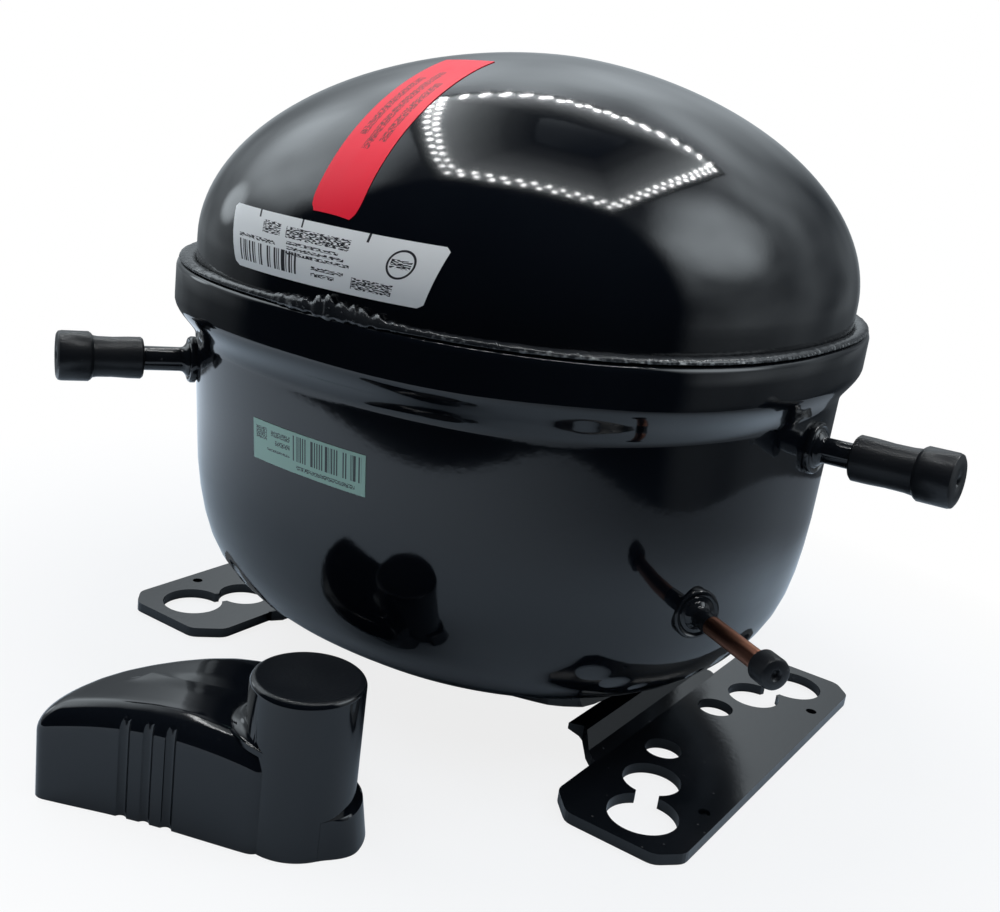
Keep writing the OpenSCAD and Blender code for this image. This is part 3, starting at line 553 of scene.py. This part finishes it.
# ---------------------------------------------------------------- rubber caps
# Moulded black rubber plugs pushed over the stubs for transport.  The big
# ones have a thick end ring and a waisted sleeve; all have a dimple.
cap_rubber = finish("cap_rubber", (0.005, 0.006, 0.008), (0.011, 0.012, 0.014), rough=(0.22, 0.4),
                    grain=1400,
                    bump=0.35, depth=0.00012, specks=0.3, speck_tone=(0.11, 0.11, 0.11), ior=1.45)
cap_forms = {
    "suction": [(3.27, 14.3), (5.2, 14.3), (5.6, 14.8), (5.55, 18), (5.35, 22), (5.4, 25.8), (5.6, 27),
                (6.2, 27.5),
                (6.6, 28.1), (6.6, 34.8), (6.4, 35.6), (5.8, 36), (1.9, 36), (1.3, 35.6), (0.9, 34.9),
                (0.6, 34.8)],
    "process": [(3.57, 12.3), (5.8, 12.3), (6.3, 12.8), (6.25, 17), (6.0, 22), (6.05, 27), (6.3, 29.3),
                (6.9, 29.9),
                (7.35, 30.6), (7.35, 38.2), (7.1, 39.1), (6.4, 39.5), (2.0, 39.5), (1.35, 39.1),
                (0.95, 38.3), (0.6, 38.2)],
    "discharge": [(2.52, 30.4), (3.5, 30.4), (3.9, 30.8), (3.9, 35.4), (3.7, 36.1), (3.2, 36.4),
                  (1.5, 36.4),
                  (1.0, 36.0), (0.7, 35.3), (0.4, 35.2)],
}
for port, profile in cap_forms.items():
    deep = profile[-1][1] - 2.2
    points, faces = ring_skin(turned([(0.25, deep), (profile[0][0], deep)] + profile, port))
    piece(port + "_rubber_cap", points, faces, port + "_cap", cap_rubber, (port + "_cap",),
          crease=35)

# ---------------------------------------------------------------- labels
# Printed film stuck to the enamel: a white rating plate, a pale green
# serial slip and a red notice tape.  The marks are ticks, stripes, a ring
# and rows of random specks, with no letters.


def printed(name, paper, ink, marks, rough, coat=0.0, aspect=1.0):
    """Film with ink marks: (left, right, low, high, kind) in label units.
    A "ring" holds its middle and its outer and inner radius instead."""
    material, tree = shader_for(name)
    sheet = wired(tree, "UVMap").outputs["UV"]
    parts = wired(tree, "SeparateXYZ", {0: sheet}).outputs
    # Stretch, scale and cut of the noise in a stripe code and in rows of specks.
    broken = {"code": ((1, 0, 0), 95, 0.5), "lines": ((1, 1, 0), 60, 0.47)}

    def within(value, low, high):
        return combined(tree, "MULTIPLY", combined(tree, "GREATER_THAN", value, low),
                        combined(tree, "LESS_THAN", value, high))

    total = None
    for left, right, low, high, kind in marks:
        if kind == "ring":
            shift = vector_math(tree, "SUBTRACT", sheet, (left, right, 0))
            mark = within(length_of(tree, vector_math(tree, "MULTIPLY", shift, (aspect, 1, 0))), high, low)
        else:
            mark = combined(tree, "MULTIPLY", within(parts["X"], left, right),
                            within(parts["Y"], low, high))
        if kind in broken:
            stretch, scale, cut = broken[kind]
            pattern = wired(tree, "TexNoise", {"Vector": vector_math(tree, "MULTIPLY", sheet, stretch),
                                               "Scale": scale, "Detail": 0}).outputs["Fac"]
            mark = combined(tree, "MULTIPLY", mark, combined(tree, "GREATER_THAN", pattern, cut))
        total = combined(tree, "MAXIMUM", total, mark) if total else mark
    worked = wired(tree, "Group", {
        "Tone A": (*paper, 1), "Tone B": (*[c * 0.9 for c in paper], 1), "Grain": 1500,
        "Rough Low": rough[0], "Rough High": rough[1]}, node_tree=grain_group).outputs
    inked = wired(tree, "Mix", {"A": worked["Color"], "B": (*ink, 1), "Factor": total}, data_type="RGBA")
    relief = wired(tree, "Bump", {"Strength": 0.1, "Distance": 0.0001, "Height": worked["Height"]})
    plug(tree, tree.nodes["Principled BSDF"], {
        "Coat Weight": coat, "IOR": 1.45, "Base Color": inked.outputs["Result"],
        "Roughness": worked["Roughness"], "Normal": relief.outputs["Normal"]})
    return material


def film(name, lay, columns, rows, material, node_name):
    """Film laid on the shell.  lay(u, v, proud) gives a point; u and v run 0 to 1."""
    top = [lay(i / columns, j / rows, 0.16) for j in range(rows + 1) for i in range(columns + 1)]
    bottom = [lay(i / columns, j / rows, 0.02) for j in range(rows + 1) for i in range(columns + 1)]
    stride, count, faces = columns + 1, len(top), []
    for j in range(rows):
        for i in range(columns):
            a = j * stride + i
            faces.append((a, a + 1, a + 1 + stride, a + stride))
            faces.append((count + a, count + a + stride, count + a + 1 + stride, count + a + 1))
    rim = list(range(columns)) + [j * stride + columns for j in range(rows)] + \
          [rows * stride + i for i in range(columns, 0, -1)] + [j * stride for j in range(rows, 0, -1)]
    for a, b in zip(rim, rim[1:] + rim[:1]):
        faces.append((b, a, count + a, count + b))
    thing = piece(name, top + bottom, faces, "shell", material, (node_name,), crease=50)
    uv = thing.data.uv_layers.new(name="UVMap")
    for loop in thing.data.loops:
        index = loop.vertex_index % count
        uv.data[loop.index].uv = ((index % stride) / columns, (index // stride) / rows)
    return thing


def on_crown_side(x, z, proud):
    h = max(0.0, (z - shoulder) / crown_rise)
    g = crown_shrink(h)
    y = -crown_half[1] * g * (1 - (abs(x) / (crown_half[0] * g)) ** 2.26) ** (1 / 2.26)
    slope = Vector((x / 86.1 ** 2, y / 101.2 ** 2, 0.9 * (z - shoulder) / 57.4 ** 2 if z > shoulder else 0)).normalized()
    return (x + slope.x * proud, y + slope.y * proud, z + slope.z * proud)


def rating_lay(u, v, proud):
    z = 124.5 + 13.6 * v
    left, right = -23.4 - 6.0 * v ** 0.8, 30.6 + 3.4 * v
    corner = 1.2
    for end, sign in ((0, 1), (1, -1)):
        distance = (right - left) * abs(u - end)
        drop = min(v, 1 - v) * 13.6
        if distance < corner and drop < corner:
            pull = corner - math.sqrt(max(corner ** 2 - (corner - drop) ** 2, 0))
            return on_crown_side(left + (right - left) * u + sign * pull * (1 - distance / corner), z,
                                 proud)
    return on_crown_side(left + (right - left) * u, z, proud)


rating_ink = [(0.17, 0.18, 0.88, 1.0, "solid"), (0.40, 0.408, 0.87, 1.0, "solid"),
              (0.70, 0.71, 0.86, 1.0, "solid"),
              (0.20, 0.30, 0.66, 0.86, "lines"), (0.33, 0.64, 0.66, 0.84, "lines"),
              (0.05, 0.42, 0.12, 0.46, "code"),
              (0.05, 0.28, 0.50, 0.56, "lines"), (0.34, 0.60, 0.56, 0.61, "lines"),
              (0.34, 0.63, 0.48, 0.53, "lines"),
              (0.34, 0.66, 0.40, 0.45, "lines"), (0.48, 0.64, 0.25, 0.31, "lines"),
              (0.48, 0.60, 0.15, 0.21, "lines"),
              (0.68, 0.86, 0.10, 0.28, "lines"), (0.86, 0.62, 0.235, 0.20, "ring"),
              (0.82, 0.90, 0.55, 0.69, "lines")]
white_film = printed("white_film", (0.84, 0.86, 0.87), (0.015, 0.015, 0.02), rating_ink, (0.35, 0.5), 0.3,
                     4.3)
film("rating_film", rating_lay, 60, 16, white_film, "rating_label")


def serial_lay(u, v, proud):
    x, z = -18.8 + 36.4 * u, 77 + 10.4 * v
    y = -tub_half_y(z) * (1 - (abs(x) / tub_half_x(z)) ** tub_power(z)) ** (1 / tub_power(z))
    return (x, y - proud, z)


green_film = printed("green_film", (0.42, 0.66, 0.56), (0.03, 0.045, 0.045),
                     [(0.03, 0.14, 0.55, 0.86, "lines"), (0.18, 0.36, 0.70, 0.84, "lines"),
                      (0.22, 0.36, 0.50, 0.62, "lines"),
                      (0.38, 0.97, 0.30, 0.92, "code"), (0.14, 0.36, 0.32, 0.38, "lines"),
                      (0.42, 0.92, 0.10, 0.20, "lines")],
                     (0.35, 0.5), 0.3)
film("serial_film", serial_lay, 40, 12, green_film, "serial_label")


def notice_lay(u, v, proud):
    y = -97.4 + 57.6 * v
    middle = 3.2 - 9.2 * v
    half = 6.9
    if v < 0.05:
        half = 6.9 - 1.6 * (1 - math.sqrt(max(0, 1 - (1 - v / 0.05) ** 2)))
    x = middle + half * (2 * u - 1)
    if v > 0.9:
        y += (u - 0.35) * 2.0 * (v - 0.9) * 10
    g = ((abs(x) / 86.1) ** 2.26 + (abs(y) / 101.2) ** 2.26) ** (1 / 2.26)
    z = shoulder + crown_rise * (1 - g ** 1.86) ** (1 / 1.95)
    slope = Vector((x / 86.1 ** 2, y / 101.2 ** 2, max(z - shoulder, 0) / 57.4 ** 2)).normalized()
    ripple = 0.10 * max(0, noise.noise(Vector((x * 0.25, y * 0.12, 2.2))))
    return (x + slope.x * (proud + ripple), y + slope.y * (proud + ripple), z + slope.z * (proud + ripple))


red_film = printed("red_film", (0.80, 0.010, 0.035), (0.16, 0.008, 0.014),
                   [(0.18, 0.32, 0.26, 0.70, "lines"), (0.42, 0.56, 0.20, 0.78, "lines"),
                    (0.66, 0.80, 0.24, 0.66, "lines")],
                   (0.3, 0.42), 0.0)
red_film.node_tree.nodes["Principled BSDF"].inputs["Specular IOR Level"].default_value = 0.2
film("notice_tape", notice_lay, 14, 80, red_film, "notice_label")

# ---------------------------------------------------------------- terminal
# Steel cup with fused glass round three pins, sealed in the tub's back
# wall.  A fence holds the cover, and a yellow screw takes the earth lead.
plain_steel = finish("cold_rolled_steel", (0.36, 0.36, 0.37), (0.25, 0.25, 0.26), rough=(0.25, 0.45),
                     metal=1.0,
                     grain=500, stretch=(1, 1, 0.08), bump=0.15, depth=0.0001)
fused_glass = finish("fused_glass", (0.06, 0.10, 0.12), (0.09, 0.14, 0.16), rough=(0.05, 0.12), grain=700,
                     bump=0.1, depth=0.0001, specks=0.5, speck_tone=(0.3, 0.35, 0.36), coat=0.8)
plated_pin = finish("plated_pin", (0.6, 0.57, 0.5), (0.42, 0.4, 0.36), rough=(0.2, 0.35), metal=1.0,
                    grain=900,
                    stretch=(1, 0.1, 1), bump=0.2, depth=0.00005)
yellow_zinc = finish("yellow_zinc", (0.62, 0.5, 0.2), (0.5, 0.52, 0.3), rough=(0.2, 0.4), metal=1.0,
                     grain=700,
                     bump=0.15, depth=0.00008)


def coat_nodes(material, *names, rounding=0.0):
    for name in names:
        if rounding:
            soften_edges(name, rounding, material)
        else:
            nodes[name].data.materials.clear()
            nodes[name].data.materials.append(material)


coat_nodes(plain_steel, "terminal_cup", rounding=0.0002)
coat_nodes(fused_glass, "terminal_glass", rounding=0.0002)
coat_nodes(plated_pin, "terminal_pins", rounding=0.0003)
coat_nodes(foot_enamel, "terminal_fence", rounding=0.0003)
coat_nodes(yellow_zinc, "earth_screw", rounding=0.0002)

# ---------------------------------------------------------------- terminal cover
# Injection-moulded gloss black cover that clips over the fence; here it
# stands on its wavy rim beside the compressor.  The tower clears the lead.
cover_plastic = finish("cover_plastic", (0.0018, 0.0025, 0.004), (0.004, 0.005, 0.007), rough=(0.045, 0.11),
                       grain=350,
                       bump=0.05, depth=0.0002, specks=0.12, speck_tone=(0.08, 0.08, 0.09), ior=1.5)
cover_grain = finish("cover_grain", (0.004, 0.005, 0.007), (0.008, 0.009, 0.011), rough=(0.24, 0.42),
                     grain=1100,
                     bump=0.4, depth=0.00015, specks=0.15, speck_tone=(0.08, 0.08, 0.09), ior=1.5)
cover_at, cover_turn = Vector((-29, -148.5, 0)), math.radians(21.1)
cover_plan = [(0, 3), (0.8, 0.9), (2.6, 0), (8, 0.25), (14, 0.6), (20, 0.95), (28, 1.1), (36, 0.9),
              (44, 0.5), (52, 0.1),
              (55.6, 0), (57, 0.5), (58, 2), (62, 6), (65, 12), (66, 20), (66, 28), (65.5, 35), (62, 39.5),
              (55, 41.8),
              (48, 42.2), (41, 41.5), (34, 39.4), (27, 35.8), (20, 31), (14, 26.4), (8.5, 21.4), (4, 15.6),
              (1.2, 9.6), (0.2, 6)]
tower_at, plan_middle = np.array([61.4, 13.3]), np.array([33.0, 20.0])


def even_outline(corners, steps, soft=0):
    corners = np.array(corners, float)
    closed = np.vstack([corners, corners[:1]])
    reach = np.concatenate([[0], np.cumsum(np.linalg.norm(np.diff(closed, axis=0), axis=1))])
    where = np.linspace(0, reach[-1], steps, endpoint=False)
    line = np.stack([np.interp(where, reach, closed[:, 0]), np.interp(where, reach, closed[:, 1])], -1)
    for _ in range(soft):
        line = 0.5 * line + 0.25 * (np.roll(line, 1, 0) + np.roll(line, -1, 0))
    return line


def roof_height(line):
    return 28.2 - 6 * ((line[:, 0] - 34) / 36) ** 2


def plan_inset(line, amount):
    return plan_middle + (line - plan_middle) * (1 - amount / np.array([33.0, 20.0]))


def cover_box(wall, low, rounding, line):
    rings = [np.column_stack([plan_inset(line, wall), np.full(len(line), low)])]
    drops = [(rounding * (1 - math.cos(w)), rounding * (1 - math.sin(w))) for w in np.linspace(0,
                                                                                               math.pi / 2,
                                                                                               12)]
    for inset, drop in drops + [(rounding + k, 0) for k in (2, 5, 8, 11)]:
        shape = plan_inset(line, wall + inset)
        rings.append(np.column_stack([shape, roof_height(shape) - wall - drop]))
    shape = plan_inset(line, 19.5)
    rings.append(np.column_stack([shape, np.full(len(line), roof_height(shape).mean() - wall)]))
    return rings


def tower_rings(profile, steps=128):
    turn = np.arange(steps) * 2 * np.pi / steps
    return [np.column_stack([tower_at[0] + r * np.cos(turn), tower_at[1] + r * np.sin(turn),
                             np.full(steps, z)])
            for r, z in profile]


def placed(rings):
    c, s = math.cos(cover_turn), math.sin(cover_turn)
    return [np.column_stack([cover_at.x + r[:, 0] * c - r[:, 1] * s, cover_at.y + r[:, 0] * s + r[:, 1] * c,
                             r[:, 2]])
            for r in rings]


def bare_object(name, rings):
    points, faces = ring_skin(placed(rings))
    mesh = bpy.data.meshes.new(name)
    mesh.from_pydata([tuple(p) for p in points * MM], [], faces)
    thing = bpy.data.objects.new(name, mesh)
    bpy.context.scene.collection.objects.link(thing)
    return thing


def carve(target, tool, operation):
    step = target.modifiers.new(operation, "BOOLEAN")
    step.operation, step.object, step.solver = operation, tool, "EXACT"
    graph = bpy.context.evaluated_depsgraph_get()
    baked = bpy.data.meshes.new_from_object(target.evaluated_get(graph))
    target.modifiers.clear()
    target.data = baked
    bpy.data.objects.remove(tool)


cover_line = even_outline(cover_plan, 300, soft=3)
box = bare_object("cover_box", cover_box(0, 0, 6, cover_line))
tower_top = [(13.3 - 1.5 * (1 - math.cos(q)), 38.5 + 1.5 * math.sin(q)) for q in np.linspace(0, math.pi / 2,
                                                                                             9)]
carve(box, bare_object("tower", tower_rings([(13.3, 0), (13.3, 20)] + tower_top + [(11.5, 39.95),
                                                                                   (11.2, 39.85), (5, 39.8),
                                                                                   (0.3, 39.8)])), "UNION")
# The roof sweeps up into the tower through a hollow fillet.
around = np.arange(128) * 2 * np.pi / 128
swell = np.clip(1.25 - np.abs((np.degrees(around) - 172 + 180) % 360 - 180) / 70, 0, 1)
swell = swell * swell * (3 - 2 * swell) * 5.0 + 0.02
sweep = []
for t in np.linspace(0, math.pi / 2, 8):
    r = 13.0 + swell * (1 - math.sin(t)) + 0.02
    spot = np.stack([tower_at[0] + r * np.cos(around), tower_at[1] + r * np.sin(around)], -1)
    sweep.append(np.column_stack([spot, roof_height(spot) - 0.15 + swell * (1 - math.cos(t))]))
root = np.stack([tower_at[0] + (12.9 + swell) * np.cos(around),
                 tower_at[1] + (12.9 + swell) * np.sin(around)], -1)
sweep.insert(0, np.column_stack([root, roof_height(root) - 1.6]))
carve(box, bare_object("tower_fillet", sweep), "UNION")
# A short flange stands round the right half of the tower's foot.
fan = np.linspace(math.radians(-46), math.radians(46), 40)
flare = np.clip((fan - fan[0]) / math.radians(38), 0, 1)
flare = flare * flare * (3 - 2 * flare)
flange = []
for most in (16.5, 15.2, 15.0, 14.5):
    reach = 13.35 + (most - 13.35) * flare
    flange.append(np.vstack([[tower_at + (9, 0)], np.stack([tower_at[0] + reach * np.cos(fan),
                                                            tower_at[1] + reach * np.sin(fan)], -1)]))
carve(box, bare_object("flange", [np.column_stack([f, np.full(41, z)]) for f,
                                  z in zip(flange, (0, 8.4, 9.6, 10))]), "UNION")
carve(box, bare_object("hollow", cover_box(2, -1, 4, even_outline(cover_plan, 160))), "DIFFERENCE")
carve(box, bare_object("tower_hollow", tower_rings([(11.3, -1), (11.3, 36.8), (10.1, 38), (0.3, 38)])),
      "DIFFERENCE")
for u in (23.2, 29.0, 34.6):
    crest = 28.2 - 6 * ((u - 34) / 36) ** 2 - 6
    path = [(0.3, -1), (0.3, 10), (0.3, crest - 2)] + [(7 - r * math.cos(q), crest + r * math.sin(q)) for q,
                                                       r in
                                                      [(math.radians(k * 9),
                                                        6.7 + 0.012 * k ** 3) for k in range(8)]]
    ring, rings = np.array([(1.55 * math.cos(q), 1.55 * math.sin(q)) for q in np.linspace(0, 2 * math.pi,
                                                                                          28,
                                                                                          endpoint=False)]), []
    path = np.array(path)
    ahead = np.gradient(path, axis=0)
    ahead /= np.linalg.norm(ahead, axis=1)[:, None]
    for (v, z), (dv, dz) in zip(path, ahead):
        rings.append(np.column_stack([u + ring[:, 0], v + ring[:, 1] * dz, z - ring[:, 1] * dv]))
    carve(box, bare_object("groove", rings), "DIFFERENCE")
box.name = box.data.name = "terminal_cover_moulding"
for face in box.data.polygons:
    face.use_smooth = True
box.data.set_sharp_from_angle(angle=math.radians(38))
box.data.materials.clear()
box.data.materials.append(cover_plastic)
box.data.materials.append(cover_grain)
for face in box.data.polygons:
    if face.center.z > 0.0396:
        face.material_index = 1
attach(box, "terminal_cover")
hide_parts("terminal_cover")

# ---------------------------------------------------------------- pump frame and cylinder
# Die-cast alloy frame with machined faces, an iron cylinder sleeve pressed
# into it, and a pressed sole plate under both on zinc-plated screws.
cast_alloy = finish("cast_alloy", (0.42, 0.43, 0.44), (0.30, 0.31, 0.32), rough=(0.35, 0.6), metal=1.0,
                    grain=900,
                    bump=0.5, depth=0.0002)
honed_iron = finish("honed_iron", (0.25, 0.25, 0.26), (0.16, 0.16, 0.17), rough=(0.22, 0.4), metal=1.0,
                    grain=1200,
                    stretch=(1, 0.2, 1), bump=0.2, depth=0.00006)
zinc_plate = finish("zinc_plate", (0.5, 0.51, 0.53), (0.38, 0.4, 0.42), rough=(0.2, 0.38), metal=1.0,
                    grain=800,
                    bump=0.12, depth=0.00006)
coat_nodes(cast_alloy, "pump_frame", "discharge_cover", rounding=0.0003)
coat_nodes(honed_iron, "cylinder_sleeve", "piston", rounding=0.0002)
coat_nodes(plain_steel, "pump_sole", "spring_seats", "stator_cover", "back_cover", "magnet_frame",
           "spring_supporter", "oil_tube", rounding=0.0003)
coat_nodes(zinc_plate, "sole_screws", "cover_screws", "stator_bolts", "back_posts", "supporter_screws",
           "reed_screw", rounding=0.0001)

# ---------------------------------------------------------------- valves
# A moulded resin discharge valve on its spring shuts the cylinder's end;
# the suction reed is thin strip steel screwed to the piston's face.
valve_resin = finish("valve_resin", (0.62, 0.56, 0.4), (0.5, 0.45, 0.32), rough=(0.4, 0.6), grain=1500,
                     bump=0.2, depth=0.00006, specks=0.4, speck_tone=(0.25, 0.2, 0.12))
blue_strip = finish("blue_strip_steel", (0.3, 0.31, 0.34), (0.2, 0.21, 0.25), rough=(0.15, 0.3), metal=1.0,
                    grain=700,
                    stretch=(0.1, 1, 1), bump=0.1, depth=0.00004)
coat_nodes(valve_resin, "discharge_valve", rounding=0.0002)
coat_nodes(blue_strip, "suction_reed")

# ---------------------------------------------------------------- linear motor
# Stacked electrical steel inside and outside a ring coil on an ivory
# bobbin; the magnets ride in the gap on a steel sleeve.
laminations = finish("laminations", (0.17, 0.175, 0.19), (0.10, 0.105, 0.115), rough=(0.3, 0.5), metal=0.9,
                     grain=260,
                     stretch=(1, 6, 1), bump=0.5, depth=0.0002)
ivory_resin = finish("ivory_resin", (0.72, 0.68, 0.56), (0.64, 0.6, 0.48), rough=(0.35, 0.5), grain=1200,
                     bump=0.15, depth=0.00006)
enamelled_wire = finish("enamelled_wire", (0.42, 0.14, 0.05), (0.3, 0.1, 0.04), rough=(0.2, 0.35),
                        metal=0.7,
                        grain=150, stretch=(0.3, 14, 0.3), bump=0.9, depth=0.0004, coat=0.4)
coated_magnet = finish("coated_magnet", (0.06, 0.06, 0.065), (0.1, 0.1, 0.105), rough=(0.3, 0.5), metal=0.5,
                       grain=1100, bump=0.2, depth=0.00006)
coat_nodes(laminations, "inner_stator", "outer_stator", rounding=0.0002)
coat_nodes(ivory_resin, "coil_bobbin", "terminal_plug", rounding=0.0003)
coat_nodes(enamelled_wire, "coil")
coat_nodes(coated_magnet, "magnets", rounding=0.0002)

# ---------------------------------------------------------------- suction path
# Dark resin guide in the back cover and a resin muffler that rides inside
# the hollow piston.
dark_resin = finish("dark_resin", (0.05, 0.05, 0.055), (0.08, 0.08, 0.085), rough=(0.4, 0.6), grain=1300,
                    bump=0.25, depth=0.00008, specks=0.2, speck_tone=(0.2, 0.2, 0.2))
coat_nodes(dark_resin, "suction_guide", "suction_muffler", rounding=0.0003)

# ---------------------------------------------------------------- springs
# Oil-tempered wire with closed ends: four stand the pump on the shell
# floor, eight and eight centre the piston set, one shuts the valve.
spring_wire = finish("oil_tempered_wire", (0.16, 0.165, 0.18), (0.09, 0.09, 0.1), rough=(0.22, 0.4),
                     metal=1.0,
                     grain=900, bump=0.25, depth=0.00006)


def wire_tube(line, radius, sides=10):
    """Points and faces of a round wire along a line, in millimetres."""
    line = np.asarray(line, float)
    ahead = np.gradient(line, axis=0)
    ahead /= np.linalg.norm(ahead, axis=1)[:, None]
    normal = np.cross(ahead[0], [0.31, 0.57, 0.76])
    normal /= np.linalg.norm(normal)
    rings = []
    turn = np.arange(sides) * 2 * np.pi / sides
    for spot, way in zip(line, ahead):
        normal = normal - way * np.dot(normal, way)
        normal /= np.linalg.norm(normal)
        other = np.cross(way, normal)
        rings.append(spot + radius * (np.cos(turn)[:, None] * normal + np.sin(turn)[:, None] * other))
    return ring_skin(rings)


def coil_line(origin, axis, coil_r, wire_r, height, turns):
    t = np.linspace(0, 1, int(turns * 28))
    rise = np.interp(t, [0, 0.16, 0.84, 1], [wire_r, wire_r * 2.4, height - wire_r * 2.4, height - wire_r])
    angle = 2 * np.pi * turns * t
    flat = np.stack([coil_r * np.cos(angle), coil_r * np.sin(angle)], -1)
    if axis == "Z":
        return np.column_stack([origin[0] + flat[:, 0], origin[1] + flat[:, 1], origin[2] + rise])
    return np.column_stack([origin[0] + flat[:, 0], origin[1] + rise, origin[2] + flat[:, 1]])


def spring_set(name, lines, wire_r, node_name):
    points, faces = gathered([wire_tube(line, wire_r) for line in lines])
    return piece(name, points, faces, None, spring_wire, (node_name,), crease=60)


stand = [coil_line((x, y, 22.02), "Z", 7.2, 0.9, 16.4, 5.5) for x in (-30, 30) for y in (-42, 42)]
standing = spring_set("suspension_coils", stand, 0.9, "suspension_springs")
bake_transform(standing)
ring_angles = [math.radians(q) for q in (40, 50, 130, 140, 220, 230, 310, 320)]
for name, low, height, node_name in (("front_coils", -53.95, 16.9, "front_springs"),
                                     ("rear_coils", -72.95, 15.9, "rear_springs")):
    lines = [coil_line((44 * math.cos(q), low, 96 + 44 * math.sin(q)), "Y", 3.1, 0.6, height,
                       6.0) for q in ring_angles]
    coils = spring_set(name, lines, 0.6, node_name)
    if node_name == "front_springs":
        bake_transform(coils)
    else:
        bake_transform(coils)
valve_coil = spring_set("valve_coil", [coil_line((0, 31.62, 96), "Y", 9.6, 0.6, 16, 4.5)], 0.6,
                        "valve_spring")
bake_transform(valve_coil)

# ---------------------------------------------------------------- loop pipe and leads
# The copper loop runs between the pump's cover and the outlet; three
# insulated leads run from the plug to the coil.


def filleted(corners, radius, arc_steps=10):
    corners = [np.array(c, float) for c in corners]
    line = [corners[0]]
    for before, here, after in zip(corners, corners[1:], corners[2:]):
        a, b = before - here, after - here
        a, b = a / np.linalg.norm(a), b / np.linalg.norm(b)
        half = math.acos(max(-1, min(1, float(np.dot(a, b))))) / 2
        reach = radius / math.tan(half)
        first, last_spot = here + a * reach, here + b * reach
        centre = here + (a + b) / np.linalg.norm(a + b) * radius / math.sin(half)
        for t in np.linspace(0, 1, arc_steps):
            spot = first + (last_spot - first) * t - centre
            line.append(centre + spot / np.linalg.norm(spot) * radius)
    line.append(corners[-1])
    dense = [line[0]]
    for a, b in zip(line, line[1:]):
        for t in np.linspace(0, 1, max(2, int(np.linalg.norm(b - a) / 4)))[1:]:
            dense.append(a + (b - a) * t)
    return dense


points, faces = wire_tube(filleted([(22, 36, 96), (68.4, 36, 96), (68.4, 36, 54), (68.4, -30.2, 54),
                                    (73.1, -33.3, 54.1)],
                                   5.0), 2.5, 20)
loop_pipe = piece("discharge_loop_pipe", points, faces, None, bare_copper, ("discharge_loop",),
                  crease=60)
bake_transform(loop_pipe)
lead_cover = finish("lead_cover", (0.42, 0.03, 0.025), (0.34, 0.02, 0.02), rough=(0.35, 0.5), grain=1200,
                    bump=0.1,
                    depth=0.00005)
points, faces = gathered([wire_tube(filleted([(s, 76, 54), (s, 76, 44), (s, 20, 44)], 6), 1.1,
                                    12) for s in (-4, 0, 4)])
leads = piece("coil_lead_set", points, faces, None, lead_cover, ("coil_leads",), crease=60)
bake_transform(leads)
